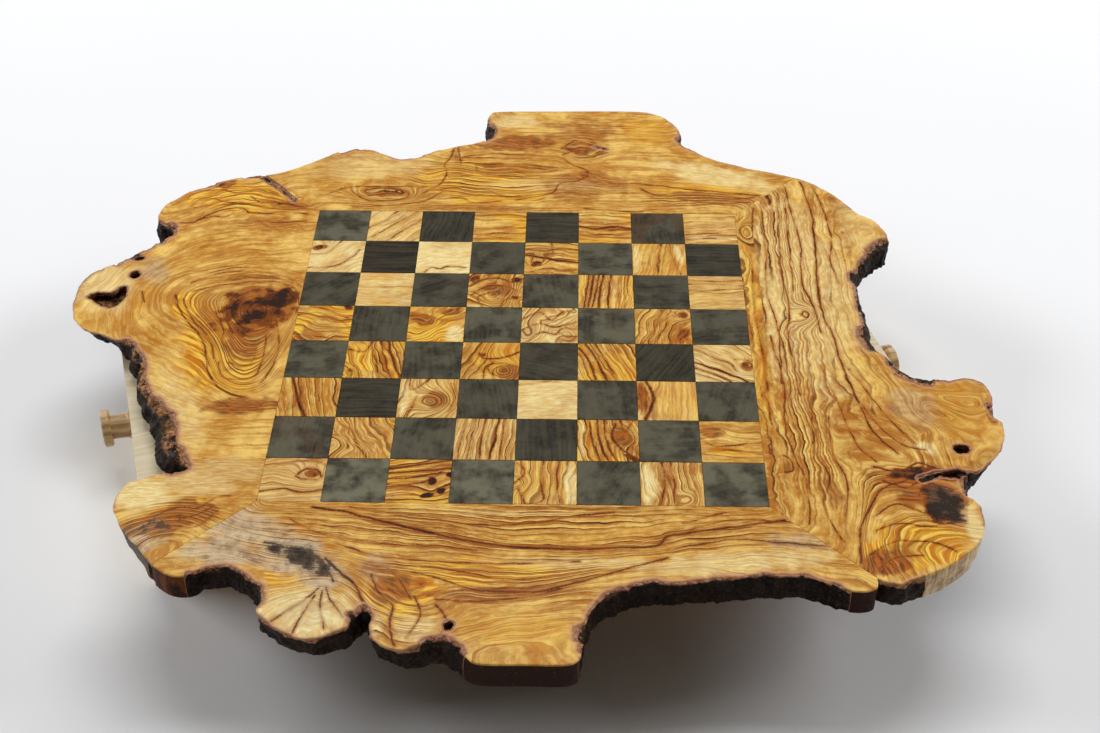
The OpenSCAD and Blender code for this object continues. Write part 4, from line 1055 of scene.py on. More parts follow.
def fill(outer, holes, first_ids, spacing, drawn_points):
    """Triangles that fill an outline, with fresh points inside it and along what is drawn there."""
    low, high = outer.min(0), outer.max(0)
    xs = np.arange(low[0], high[0], spacing)
    ys = np.arange(low[1], high[1], spacing * 0.87)
    grid = np.array([(x + (j % 2) * spacing / 2, y) for j, y in enumerate(ys) for x in xs])
    if len(drawn_points):
        cell = 0.5
        cells = np.unique(np.round(drawn_points / cell), axis=0, return_index=True)[1]
        drawn_points = drawn_points[cells]
        grid = grid[nearest(grid, drawn_points)[0] > 0.5 * spacing]
        grid = np.vstack([grid, drawn_points])
    grid = grid[between(grid, outer, holes)]
    rim = np.vstack([outer, *holes])
    grid = grid[nearest(grid, rim)[0] > 0.6 * spacing]
    edges, start = [], 0
    for loop in [outer, *holes]:
        n = len(loop)
        edges += [(start + i, start + (i + 1) % n) for i in range(n)]
        start += n
    points = np.vstack([rim, grid])
    result = delaunay_2d_cdt([Vector(p) for p in points], edges, [], 0, 1e-7)
    corners = np.array([tuple(p) for p in result[0]])
    triangles = np.array(result[2])
    keep = between(corners[triangles].mean(1), outer, holes)
    crossings = [i for i, ids in enumerate(result[3]) if not ids]
    order = np.array([ids[0] if ids else -1 for ids in result[3]])
    order[crossings] = len(points) + np.arange(len(crossings))
    grid = np.vstack([grid, corners[crossings]])
    points = np.vstack([rim, grid])
    triangles = order[triangles[keep]]
    a, b, c = points[triangles].transpose(1, 0, 2)
    flip = (b[:, 0] - a[:, 0]) * (c[:, 1] - a[:, 1]) < (b[:, 1] - a[:, 1]) * (c[:, 0] - a[:, 0])
    triangles[flip] = triangles[flip][:, ::-1]
    ids = np.r_[first_ids, np.full(len(grid), -1)]
    return grid, triangles, ids


# The side's rows, as depths under the rim of the top. The first ones round its upper edge: by
# these insets on a free edge, and by these at a joint
ROW_DEPTHS = (0, 0.12, 0.5, 1.2, 2.1, 3.0, 4.0, 5.0, 6.1, 7.2, 8.4, 9.6, 10.8, 12.0, 13.2, 14.4,
              15.5, 16.6, 17.4, 18)
EDGE_INSET = (0.7, 0.2, 0.0)
JOINT_INSET = (0.12, 0.02, 0.0)
# A pocket's depth, and its rows: how far down each lies, and how far it stands into the pocket
POCKET_DEPTH = 5.6
POCKET_ROWS = ((0, 0), (0.05, 0.3), (0.16, 0.3), (0.35, 0), (0.6, -0.3), (0.85, -0.6), (1, -1))


def near_any(points, spots):
    """How near each point is to any of some spots (x, y, radius), 0 to 1."""
    best = np.zeros(len(points))
    for x, y, radius in spots:
        away = np.hypot(points[:, 0] - x, points[:, 1] - y)
        best = np.maximum(best, 1 - smooth(away, 0.7 * radius, radius))
    return best


def barkiness(outline, joint, figure):
    """How barky the outline is at each point, 0 to 1, and how far bark comes in over the top."""
    amount = np.ones(len(outline))
    for x, y, radius, _, _ in figure["sawn"]:
        away = np.hypot(outline[:, 0] - x, outline[:, 1] - y)
        amount = np.minimum(amount, smooth(away, 0.85 * radius, radius))
    amount = np.where(joint, 0, amount)
    cover = 2.2 * smooth(noise(outline, 11, 46, 2), 0.35, 0.75) - 2.9
    cover += 3.2 * near_any(outline, figure["skin"]) + 4.6 * near_any(outline, figure["dry"])
    return amount, amount * cover


def side_rows(outline, normal, joint, lean, bark, cover):
    """Rings of points down a slab's side: a rounded top edge, then bark or a sawn wall."""
    rows = []
    drop = np.clip(cover, 0, 3) * (0.2 + 0.8 * noise(outline, 5, 47, 2))
    shares = [0.0, *EDGE_LEVELS[-2:0:-1], 1.0]
    for k, depth in enumerate(ROW_DEPTHS):
        z = TOP - drop - depth * (1 - drop / THICKNESS)
        level = (z - SLAB_BOTTOM) / THICKNESS
        out = np.array([np.interp(v, shares, row[::-1]) for v, row in zip(level, lean)])
        if k < len(EDGE_INSET):
            out = out * (k / len(EDGE_INSET)) - np.where(joint, JOINT_INSET[k], EDGE_INSET[k])
        p = outline + out[:, None] * normal
        spot = np.c_[p, z]
        rough = sway(spot * (1, 1, 0.5), 13, 21, 2, 3.6) + sway(spot * (1, 1, 0.6), 5, 24, 3, 4.0)
        rough += 0.2 - np.abs(sway(spot, 2.4, 27, 2, 2.2))
        reach = bark * smooth(depth - np.clip(-cover, 0, 2), 0.1, 2.6)
        p = p + (reach * np.clip(rough - 0.6, -3.2, 0.8))[:, None] * normal
        low = smooth(depth, THICKNESS - 3.0, THICKNESS)
        hang = np.minimum(4.0 * (noise(spot, 8, 23, 3) - 0.4), 0)
        rows.append(np.c_[p, z - low * bark * hang])
    return rows


def strips(rings_of_ids):
    """Quads between neighbouring rings."""
    faces = []
    for upper, lower in zip(rings_of_ids[:-1], rings_of_ids[1:]):
        a, b = upper, np.roll(upper, -1)
        c, d = np.roll(lower, -1), lower
        faces += list(np.stack([a, d, c, b], 1))
    return faces


class Parts:
    """Points and faces of one mesh, as they are made."""

    def __init__(self):
        self.rows, self.faces, self.count = [], [], 0

    def add(self, points):
        """More points, whose numbers it gives."""
        ids = np.arange(len(points)) + self.count
        self.rows.append(np.asarray(points, float))
        self.count += len(points)
        return ids

    def points(self):
        return np.vstack(self.rows)

    def cap(self, outline, holes, ids, spacing, z, down=False, drawn_points=()):
        """A flat face inside an outline whose points have these numbers."""
        grid, triangles, mapped = fill(outline, holes, ids, spacing, drawn_points)
        mapped[mapped < 0] = self.add(np.c_[grid, np.full(len(grid), z)])
        faces = mapped[triangles]
        self.faces += list(faces[:, ::-1] if down else faces)

    def pocket(self, loop):
        """A bark pocket's ragged wall and floor. Gives its rim and the rim's numbers."""
        rim, _ = resample(loop, POCKET_STEP)
        rim = rim + sway(rim, 2.2, 43, 2, 1.2)[:, None] * normals_of(rim)
        normal = normals_of(rim)
        rings = []
        for share, outward in POCKET_ROWS:
            row = np.c_[rim + outward * normal, np.full(len(rim), TOP - POCKET_DEPTH * share)]
            ragged = smooth(share, 0.05, 0.3) * sway(row, 2.6, 31, 3, 1.6)
            row[:, :2] += ragged[:, None] * normal
            rings.append(self.add(row))
        centre = self.add([[*rim.mean(0), TOP - POCKET_DEPTH]])[0]
        self.faces += strips(rings)
        self.faces += [(a, centre, b) for a, b in zip(rings[-1], np.roll(rings[-1], -1))]
        return rim, rings[0]


def slab_rim(node, loop):
    """A slab's rim: its points, the way out there, which of them lie on a joint, how the solid's
    wall leans under them, how barky they are and how far bark comes in over the top."""
    source = frame["nodes"][node].data
    solid = BVHTree.FromPolygons([v.co[:] for v in source.vertices],
                                 [tuple(f.vertices) for f in source.polygons])
    outer, joint = resample(loop, STEP)
    outer = np.where(joint[:, None], outer, blur(outer, 3))
    normal = normals_of(outer)
    lean = np.where(joint[:, None], 0, blur(leans(solid, outer, normal, joint), 2))
    bark, cover = barkiness(outer, joint, FIGURES[node])
    ragged = 2.2 * (noise(outer, 6, 41, 3) - 0.6) + 1.4 * (noise(outer, 1.8, 42, 2) - 0.6)
    ragged *= 0.45 + 0.55 * np.clip(cover, 0, 1)
    outer = outer + (blur(bark, 2) * ragged)[:, None] * normal
    return outer, normal, joint, lean, bark, cover


def slab_figure(node, points, wall, holes, outer, bark, cover):
    """Rings, run and tints of a slab's points, of which those on its wall are named."""
    figure = FIGURES[node]
    rings, along, tints = figure_of(points[:, :2], node)
    gap, place = nearest(points[:, :2], outer)
    depth = TOP - points[:, 2]
    crust = cover[place] + np.where(wall, 1.2 * depth, -gap)
    crust = np.where(bark[place] > 0.25, crust, OUTSIDE)
    for hole in holes:
        hole_gap = distance_to(points[:, :2], np.vstack([hole, hole[:1]]))
        crust = np.maximum(crust, 0.5 - 2.0 * hole_gap)
    sunken = ~wall & (depth > 0.3)
    crust = np.where(sunken, 1.2 + 0.35 * depth, crust)
    tints["grey"][sunken] = 0.45
    tints["bark"] = np.maximum(tints["bark"], np.clip(crust, OUTSIDE, DEEPEST))
    # A sawn wall takes its kind's tint below the rounded edge. The dark ink tint on the
    # front-facing sawn walls is partly the wood's dark tone and partly painted shade
    for x, y, radius, kind, amount in figure["sawn"]:
        away = np.hypot(points[:, 0] - x, points[:, 1] - y)
        tints[kind][wall & (depth > 0.8) & (away < 1.1 * radius)] = amount
    husk = near_any(points, figure["dry"]) * (tints["bark"] > -0.5)
    tints["grey"] = np.maximum(tints["grey"], husk)
    return rings, along, tints


def make_slab(node, material):
    """A slab with a rounded rim, bark, pockets and a dense top that carries the wood's figure."""
    loops = top_loops(node)
    outer, normal, joint, lean, bark, cover = slab_rim(node, loops[0])
    parts = Parts()
    rows = side_rows(outer, normal, joint, lean, bark, cover)
    ids = [parts.add(row) for row in rows]
    parts.faces += strips(ids)
    pockets = [parts.pocket(loop) for loop in loops[1:]]
    holes = [rim for rim, _ in pockets]
    rim_ids = np.concatenate([ids[0], *(numbers for _, numbers in pockets)])
    lines = np.vstack([wandering(stroke[2]) for stroke in FIGURES[node]["strokes"]])
    parts.cap(rows[0][:, :2], holes, rim_ids, TOP_GRID, TOP, drawn_points=lines)
    parts.cap(rows[-1][:, :2], [], ids[-1], UNDER_GRID, SLAB_BOTTOM, down=True)
    points = parts.points()
    wall = np.arange(len(points)) < len(ids) * len(outer)
    figure = slab_figure(node, points, wall, holes, outer, bark, cover)
    top = ~wall & (TOP - points[:, 2] < 0.01)
    sunk = smooth(figure[2]["bark"], 0, 3.5) * (0.5 + 2.4 * noise(points, 3.2, 48, 3))
    points[top, 2] -= sunk[top]
    points = np.clip(points, *(np.array(corner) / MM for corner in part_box(node)))
    name = node.replace("_slab", "_live_slab")
    obj = make_piece(name, points, parts.faces, figure, material, 60)
    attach(obj, "board")
    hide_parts(node)


def make_strip(node, material):
    """The filler strip, made as the slabs are."""
    outline, _ = resample(top_loops(node)[0], STEP)
    chamfer = 0.12
    inner = outline - chamfer * normals_of(outline)
    parts = Parts()
    ids = [parts.add(np.c_[rim, np.full(len(rim), TOP - depth)])
           for rim, depth in ((inner, 0), (outline, chamfer), (outline, THICKNESS))]
    parts.faces += strips(ids)
    parts.cap(inner, [], ids[0], TOP_GRID, TOP)
    parts.cap(outline, [], ids[-1], UNDER_GRID, SLAB_BOTTOM, down=True)
    points = parts.points()
    figure = figure_of(points[:, :2], node)
    obj = make_piece("inlaid_strip", points, parts.faces, figure, material, 40)
    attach(obj, "board")
    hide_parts(node)


# The light squares, by column and row from the front left: the lines' direction in degrees, how
# strong they are, tone (-1 pale, 1 brown), gold, bend, knots as (x, y, radius, lift), strokes and
# patches as on the slabs. Places are in millimetres from the square's middle.
LIGHT_SQUARES = {
    (0, 0): (4, 0.7, -0.4, 0.3, 3, [(10, 5, 8, 14)], [
        (1.4, 0.9, [(3, 5), (8, 10), (15, 8), (17, 3)]), (1.0, 0.7, [(2, 3), (6, 0), (14, 0)]),
        (1.0, 0.6, [(-19, 12), (-4, 15), (10, 16), (19, 13)]),
        (1.3, 0.9, [(-19, -11), (-6, -8), (6, -11), (19, -9)]),
    ], {"brown": [(1, 11, 5, 6, 4)], "ink": [(0.8, 11, 5, 4, 3)]}),
    (2, 0): (9, 1.3, 0.0, 0.7, 2, [(7, -8, 8, 6)], [
        (1.8, 0.95, [(-19, 10), (0, 14), (19, 18)]), (1.6, 0.9, [(-19, 6), (0, 9), (19, 11)]),
        (1.5, 0.9, [(-19, 1), (0, 4), (14, 8)]), (1.3, 0.8, [(-19, -4), (0, -2), (8, 2)]),
    ], {"ink": [(1, 8, 0, 3, 5), (1, 6, -12, 7, 3, 20), (1, 13, -8, 4, 4), (0.9, 19, 6, 4, 3)]}),
    (4, 0): (86, 0.9, -0.2, 0.6, 3, [(-16, -2, 6, 8)], [
        (1.2, 0.8, [(-17, 17), (-13, 8), (-19, -2)]),
        (1.2, 0.8, [(-16, -5), (-12, -17), (-8, -19)]),
        (1.2, 0.7, [(-1, 18), (-3, 3), (-1, -14), (-8, -19)]),
        (1.2, 0.8, [(8, 18), (7, -2), (9, -18)]),
    ], {"pale": [(1, 15, 0, 5, 20)], "gold": [(0.8, -2, 0, 6, 20)]}),
    (6, 0): (92, 1.0, -0.2, 0.2, 3, [(10, -12, 6, 10)], [
        (1.6, 0.75, [(-6, 19), (-4, 2), (-7, -18)]), (1.0, 0.6, [(0, 19), (2, 0), (0, -18)]),
        (1.0, 0.5, [(12, 19), (14, 2), (13, -16)]),
    ], {"pale": [(1, -14, 0, 6, 20)], "brown": [(0.6, -3, 4, 4, 18, 4)]}),
    (1, 1): (112, 1.1, -0.1, 0.4, 7, [(-12, -4, 9, 12)], [
        (1.1, 0.7, [(-16, 12), (-6, 5), (-4, -4), (4, -18)]),
        (1.0, 0.6, [(-18, 2), (-10, 0), (-8, -10)]), (1.0, 0.6, [(-4, 18), (4, 6), (12, -8)]),
    ], {}),
    (3, 1): (82, 1.0, -0.4, 0.3, 1, [], [
        (1.1, 0.7, [(-13, 18), (-16, -18)]), (1.2, 0.75, [(-7, 18), (-9, 0), (-10, -18)]),
        (1.2, 0.8, [(0, 18), (-2, 2), (-3, -18)]), (1.8, 0.9, [(8, 18), (6, 0), (3, -18)]),
        (1.2, 0.7, [(12, 18), (9, -18)]),
    ], {"brown": [(0.7, 5, 0, 2, 20, -6)]}),
    (5, 1): (98, 1.3, 0.1, 1.0, 3, [(12, 4, 8, 12)], [
        (1.5, 0.9, [(-12, 18), (-10, 0), (-5, -18)]), (1.6, 0.9, [(-7, 18), (-6, 4), (-1, -18)]),
        (1.3, 0.8, [(-2, 18), (-1, 2), (4, -18)]),
        (1.8, 0.95, [(5, 15), (3, 2), (9, -9), (18, -18)]),
        (1.3, 0.8, [(8, 18), (11, 8), (16, 18)]), (1.1, 0.7, [(12, 6), (14, -4), (18, -12)]),
    ], {"brown": [(0.9, 10, 2, 8, 14, 20)], "ink": [(0.6, 12, -14, 8, 2, -45)],
        "pale": [(0.8, -16, 0, 3, 20)]}),
    (7, 1): (-4, 0.5, 0.1, 0.3, 2, [], [
        (1.3, 0.6, [(-19, 2), (-10, -4), (4, -3), (19, 0)]),
        (1.0, 0.5, [(-19, -10), (0, -8), (19, -11)]),
    ], {"brown": [(0.8, -11, 9, 10, 8)], "gold": [(0.8, 0, -9, 20, 6)]}),
    (0, 2): (102, 0.9, 0.05, 0.3, 2, [], [
        (2.4, 0.85, [(-13, 18), (-7, -2), (-1, -18)]), (1.0, 0.6, [(-18, 4), (-12, -18)]),
        (1.0, 0.4, [(4, 18), (8, -18)]), (1.0, 0.4, [(11, 18), (15, -18)]),
    ], {"brown": [(0.7, -8, 0, 4, 20, -14)]}),
    (2, 2): (80, 0.8, -0.3, 0.3, 2, [(5, -3, 12, 24)], [
        (1.3, 0.7, [(-13, 18), (-12, 8), (-4, 14), (0, 18)]),
        (1.2, 0.7, [(-8, 2), (-10, -10), (-12, -18)]), (1.1, 0.6, [(14, 14), (17, 2), (14, -12)]),
    ], {"brown": [(1, 5, -3, 10, 13)], "pale": [(0.9, -15, 0, 4, 20)]}),
    (4, 2): (6, 0.25, -0.8, 0.1, 1, [], [
        (0.9, 0.3, [(-19, 14), (0, 17), (19, 18)]),
    ], {}),
    (6, 2): (88, 0.4, -0.3, 0.6, 2, [], [
        (2.2, 0.95, [(-13, 18), (-9, 3), (-11, -8), (-14, -18)]),
    ], {"brown": [(1, -16, 2, 6, 17)], "ink": [(0.4, -16, 4, 3, 14)]}),
    (1, 3): (108, 1.2, 0.0, 0.8, 5, [(-13, -13, 8, 12), (-6, 14, 6, 6)], [
        (2.0, 0.95, [(8, 18), (12, 0), (18, -18)]), (1.4, 0.8, [(3, 18), (7, 0), (11, -18)]),
        (1.2, 0.7, [(-2, 12), (2, -4), (5, -18)]), (1.3, 0.8, [(-18, 10), (-8, 8), (-3, 18)]),
        (1.2, 0.8, [(-18, -4), (-12, -8), (-8, -18)]),
    ], {"ink": [(0.5, -14, -13, 4, 5)]}),
    (3, 3): (70, 0.7, 0.0, 0.7, 2, [(11, -11, 12, 26)], [
        (1.5, 0.85, [(-8, 8), (-5, 3), (4, 2), (12, 5), (19, 9)]),
        (1.3, 0.8, [(-4, -18), (-3, -8), (2, -2)]),
        (1.1, 0.7, [(2, -18), (3, -9), (9, -5), (18, -6)]),
    ], {"brown": [(0.9, 11, -11, 12, 10)], "ink": [(0.5, -6, 6, 4, 3)]}),
    (5, 3): (112, 1.4, 0.1, 0.7, 2, [], [
        (1.9, 0.95, [(-18, 14), (-11, -2), (-7, -18)]), (1.7, 0.9, [(-14, 18), (-6, 0), (-1, -18)]),
        (1.3, 0.8, [(-8, 18), (0, 0), (6, -18)]), (1.2, 0.6, [(2, 18), (10, 0), (15, -18)]),
        (1.1, 0.6, [(9, 18), (17, 2)]),
    ], {}),
    (7, 3): (-28, 0.9, -0.8, 0.1, 3, [(14, -3, 7, 14)], [
        (2.0, 0.9, [(-19, 0), (-8, -5), (6, -13), (14, -19)]),
        (1.4, 0.8, [(-19, -5), (-6, -12), (3, -19)]),
        (1.2, 0.7, [(-18, 14), (-6, 6), (4, 0), (8, -8)]), (1.2, 0.7, [(8, 4), (14, 4), (19, 2)]),
    ], {"brown": [(1, 15, -3, 6, 6)], "ink": [(0.6, 14, -3, 3, 4)]}),
    (0, 4): (-10, 0.9, 0.2, 1.0, 5, [(-4, -22, 12, 10)], [
        (1.2, 0.7, [(-19, 8), (-6, 11), (6, 6), (18, -4)]),
        (1.2, 0.7, [(-12, 18), (2, 14), (16, 6)]), (1.4, 0.8, [(-19, -12), (-6, -14), (10, -18)]),
    ], {"brown": [(0.9, -12, -17, 14, 4)], "ink": [(0.8, 15, 17, 4, 3, -30)]}),
    (2, 4): (30, 0.6, 0.1, 0.8, 6, [(-6, 4, 10, 12)], [
        (1.0, 0.5, [(-18, 4), (-6, 8), (8, 4), (18, 6)]),
    ], {"brown": [(0.9, -10, 6, 12, 8, -20), (0.9, 8, 13, 11, 5)], "pale": [(0.9, 12, -10, 8, 10)],
        "ink": [(0.5, 14, 16, 4, 3)]}),
    (4, 4): (60, 1.1, -0.6, 0.3, 9, [(13, -13, 9, 16), (8, 14, 6, 10)], [
        (1.1, 0.75, [(-18, 6), (-8, 14), (2, 6), (8, 14), (16, 16)]),
        (1.1, 0.7, [(-18, -6), (-8, 2), (4, -2), (18, 4)]),
        (1.0, 0.7, [(-14, -18), (-6, -8), (4, -10), (8, -4), (18, -4)]),
        (1.2, 0.8, [(4, -18), (8, -12), (18, -12)]),
    ], {"brown": [(0.7, 13, -14, 6, 5), (0.5, 10, 14, 5, 5)]}),
    (6, 4): (72, 0.8, 0.25, 0.1, 4, [(14, 12, 6, 12)], [
        (1.0, 0.6, [(-14, -18), (-6, -4), (0, 18)]), (1.0, 0.5, [(-6, -18), (2, 0), (4, 14)]),
        (1.0, 0.6, [(4, -18), (10, -4), (16, 4)]),
    ], {"brown": [(1, 14, 12, 5, 5), (0.9, 12, -10, 5, 12, -20)], "ink": [(0.6, 14, 12, 4, 4)]}),
    (1, 5): (0, 0.15, -0.5, 0.5, 1, [], [
        (0.9, 0.2, [(-19, 2), (19, 3)]),
    ], {}),
    (3, 5): (40, 1.4, 0.9, 0.2, 9, [(4, -6, 13, 24)], [
        (1.6, 0.9, [(-18, 4), (-10, 12), (2, 14), (12, 10), (18, 14)]),
        (1.3, 0.8, [(-16, -6), (-8, 4), (4, 6), (14, 0)]),
        (1.2, 0.8, [(-8, -18), (-12, -8), (-4, -2)]), (1.3, 0.8, [(4, -18), (8, -10), (18, -8)]),
    ], {"ink": [(0.9, 14, 12, 5, 4), (0.8, 13, -8, 4, 3), (0.6, -14, 12, 5, 6)],
        "pale": [(0.5, 2, -4, 7, 6), (0.6, -14, -18, 6, 2)]}),
    (5, 5): (84, 1.2, -0.2, 0.8, 2, [], [
        (1.4, 0.9, [(-12, 19), (-15, -18)]), (1.7, 0.95, [(-9, 19), (-12, -18)]),
        (1.3, 0.85, [(-5, 19), (-9, -18)]), (1.6, 0.9, [(-1, 19), (-4, 0), (-5, -18)]),
        (1.4, 0.85, [(4, 19), (1, -18)]), (1.0, 0.5, [(11, 19), (8, 0), (10, -18)]),
        (1.1, 0.7, [(17, 19), (12, -18)]),
    ], {}),
    (7, 5): (4, 0.5, -0.3, 0.3, 2, [], [
        (1.1, 0.8, [(-19, 14), (0, 13), (19, 14)]), (1.4, 0.6, [(-19, 1), (0, 3), (19, 5)]),
        (1.0, 0.5, [(-19, 9), (0, 10), (19, 8)]),
    ], {}),
    (0, 6): (35, 0.5, -0.9, 0.2, 5, [(-12, 10, 7, 12)], [
        (1.0, 0.6, [(-18, 2), (-8, 4), (-2, 12), (2, 18)]),
        (1.1, 0.7, [(-18, -14), (0, -12), (10, -2), (16, 8)]),
    ], {"brown": [(0.9, -12, 11, 8, 4, 20), (0.5, 17, 16, 3, 4)],
        "ink": [(0.7, -13, 11, 4, 3, 20)]}),
    (2, 6): (14, 0.2, -1.0, 0.0, 2, [], [
        (1.1, 0.8, [(-12, -18), (-8, -12), (-2, -14), (4, -11), (16, -12)]),
    ], {"brown": [(0.4, 0, -17, 8, 3)]}),
    (4, 6): (-6, 1.2, 0.45, 0.5, 4, [(-11, -7, 8, 12)], [
        (2.4, 0.85, [(-18, 3), (-6, 1), (6, -3), (19, -5)]),
        (1.4, 0.8, [(-18, 10), (-4, 9), (6, 12), (19, 10)]),
        (1.2, 0.7, [(-14, -16), (-2, -12), (10, -15), (19, -12)]), (1.1, 0.7, [(0, 18), (2, 6)]),
    ], {"ink": [(0.7, -11, -7, 5, 4)], "brown": [(0.8, 10, -2, 10, 3, -10)]}),
    (6, 6): (80, 0.4, -0.1, 0.5, 1, [], [
        (1.6, 0.5, [(2, 18), (-2, -18)]), (1.0, 0.6, [(8, 18), (10, 0), (14, -18)]),
    ], {"brown": [(0.35, 0, 4, 6, 16)], "pale": [(0.8, 14, 6, 3, 14, 10), (0.7, -16, 0, 3, 18)]}),
    (1, 7): (46, 0.5, -0.5, 0.3, 3, [], [
        (1.5, 0.55, [(-15, -14), (0, 3), (15, 18)]), (1.3, 0.5, [(-19, -4), (-8, 8), (2, 19)]),
        (1.2, 0.4, [(-5, -19), (8, -4), (19, 8)]),
    ], {"brown": [(0.35, -4, 2, 20, 4, 45)]}),
    (3, 7): (3, 0.6, 0.15, 0.8, 1, [], [
        (1.1, 0.5, [(-19, -10), (0, -8), (19, -9)]), (1.0, 0.4, [(-19, -2), (19, 0)]),
        (1.1, 0.5, [(-19, -15), (0, -14), (19, -16)]),
    ], {}),
    (5, 7): (-2, 0.9, 0.1, 0.7, 2, [], [
        (2.6, 0.9, [(-19, 1), (-6, -1), (6, 1), (19, -1)]), (1.2, 0.6, [(-19, 8), (0, 5), (19, 7)]),
        (1.2, 0.6, [(-19, -8), (0, -9), (19, -6)]),
    ], {"brown": [(0.8, 6, -2, 16, 3)]}),
    (7, 7): (4, 0.5, -0.2, 0.4, 2, [], [
        (1.2, 0.6, [(-19, -8), (0, -6), (19, -8)]), (1.2, 0.5, [(-19, -14), (0, -12), (19, -15)]),
    ], {"pale": [(0.8, 0, -12, 20, 5)], "brown": [(0.25, 4, 8, 14, 9)]}),
}
# The dark squares: the streaks' direction, how light they are, and how brown. Their lightness is
# partly the stain's own unevenness and partly painted sheen, the varnish's reflection painted into
# the colour, so the front row is lightest
DARK_SQUARES = {
    (1, 0): (5, 0.9, 0), (3, 0): (88, 0.8, 0), (5, 0): (60, 0.5, 0), (7, 0): (20, 0.7, 0),
    (0, 1): (86, 0.5, 0.5), (2, 1): (84, 0.4, 0), (4, 1): (92, 0.2, 0), (6, 1): (2, 0.5, 0),
    (1, 2): (0, 0.1, 0.1), (3, 2): (100, 0.3, 0), (5, 2): (95, 0.4, 0.1), (7, 2): (70, 0.4, 0),
    (0, 3): (3, 0.5, 0), (2, 3): (95, 0.4, 0), (4, 3): (-20, 0.2, 0.1), (6, 3): (60, 0.1, 0),
    (1, 4): (90, 0.3, 0), (3, 4): (90, 0.5, 0), (5, 4): (90, 0.6, 0.15), (7, 4): (8, 0.4, 0),
    (0, 5): (40, 0.3, 0), (2, 5): (30, 0.3, 0.1), (4, 5): (100, 0.4, 0.1), (6, 5): (0, 0.3, 0),
    (1, 6): (0, 0.0, 0.15), (3, 6): (60, 0.3, 0), (5, 6): (10, 0.5, 0), (7, 6): (0, 0.1, 0),
    (0, 7): (2, 0.6, 0), (2, 7): (80, 0.1, 0), (4, 7): (0, 0.1, 0.1), (6, 7): (91, 0.3, 0.9),
}
LIGHT_STEPS = 50
DARK_STEPS = 16
CHAMFER = 0.22
# A stained piece's knot, whose streaks run round it
DARK_KNOT = (3, 6)
# Each square's noise has its own seed, counted from the first, and lies this far from its
# neighbour's
FIRST_SEED = 60
NOISE_SHIFT = 97.0


def square_figure(local, col, row, odd):
    """Rings, run and tints of one square, from places in millimetres from its middle."""
    seed = FIRST_SEED + SQUARES * col + row
    tints = blank(len(local))
    if odd:
        turn, light, brown = DARK_SQUARES[col, row]
        knots = [(0, 0, 16, 40)] if (col, row) == DARK_KNOT else []
        bend, patches, strokes = 2.0, {}, []
        # A dark square's lightness, partly painted sheen, rides in the veins channel and sets its
        # light clouds
        tints["veins"] += light
        tints["brown"] += brown * smooth(noise(local, 9, seed, 2), 0.4, 0.6)
    else:
        turn, veins, tone, gold, bend, knots, strokes, patches = LIGHT_SQUARES[col, row]
        cloud = noise(local, 16, seed + 7, 3)
        tints["veins"] += 0.75 * veins
        tints["brown"] += max(tone, 0) * smooth(cloud, 0.3, 0.7)
        tints["pale"] += max(-tone, 0) * (0.55 + 0.45 * smooth(cloud, 0.3, 0.6))
        tints["gold"] += gold * smooth(noise(local, 22, seed + 9, 2), 0.3, 0.6)
    shifted = local + np.array([col, row]) * NOISE_SHIFT
    moved = local + drift(shifted, 14, (seed, seed + SQUARES ** 2), 2, 2 * bend)
    a = math.radians(turn)
    across = moved @ (-math.sin(a), math.cos(a)) + 40 * (seed % 7) + 11 * (seed % 5)
    for x, y, radius, lift in knots:
        away = np.hypot(moved[:, 0] - x, moved[:, 1] - y)
        across = across + lift * np.exp(-(away / radius) ** 2)
    drawn(local, tints, patches, strokes)
    return across, moved @ (math.cos(a), math.sin(a)) + 90 * seed, tints


def make_squares(node, name, odd, steps, material):
    """All the squares of one colour, each cut from its own piece of wood."""
    low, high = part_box(node)
    thickness = (high.z - low.z) / MM
    side = SQUARE - 2 * SQUARE_GAP
    line = np.linspace(-side / 2 + CHAMFER, side / 2 - CHAMFER, steps + 1)
    gx, gy = np.meshgrid(line, line, indexing="ij")
    top = np.c_[gx.ravel(), gy.ravel()]
    index = np.arange(len(top)).reshape(steps + 1, steps + 1)
    corners = [index[:-1, :-1], index[1:, :-1], index[1:, 1:], index[:-1, 1:]]
    quads = np.stack(corners, -1).reshape(-1, 4)
    rim = np.r_[index[:-1, 0], index[-1, :-1], index[:0:-1, -1], index[0, :0:-1]]
    # The chamfer's lower edge and the underside are the rim, pushed out to the square's full side
    grown = np.clip(top[rim] * 1.1, -side / 2, side / 2)
    local = np.vstack([top, grown, grown])
    heights = np.repeat([TOP, TOP - CHAMFER, TOP - thickness], [len(top), len(rim), len(rim)])
    parts = Parts()
    figures = []
    for col in range(SQUARES):
        for row in range(odd != col % 2, SQUARES, 2):
            centre = np.array([(col + 0.5) * SQUARE - HALF, (row + 0.5) * SQUARE - HALF])
            ids = parts.add(np.c_[local + centre, heights])
            edges = [ids[rim], *np.split(ids[len(top):], 2)]
            parts.faces += [*ids[quads], *strips(edges), edges[-1][::-1]]
            figures.append(square_figure(local, col, row, odd))
    rings, along, tints = zip(*figures)
    tints = {kind: np.concatenate([own[kind] for own in tints]) for kind in KINDS}
    figure = (np.concatenate(rings), np.concatenate(along), tints)
    obj = make_piece(name, parts.points(), parts.faces, figure, material, 40)
    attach(obj, "board")
    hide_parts(node)


def dress(node, material, bevel=0.0):
    """A carried-over node gets its material, and a small round on its edges."""
    obj = frame["nodes"][node]
    obj.data.materials.clear()
    obj.data.materials.append(material)
    if bevel:
        modifier = obj.modifiers.new("round", "BEVEL")
        modifier.width = bevel * MM
        modifier.segments = 2
        modifier.limit_method = "ANGLE"
        modifier.angle_limit = math.radians(35)


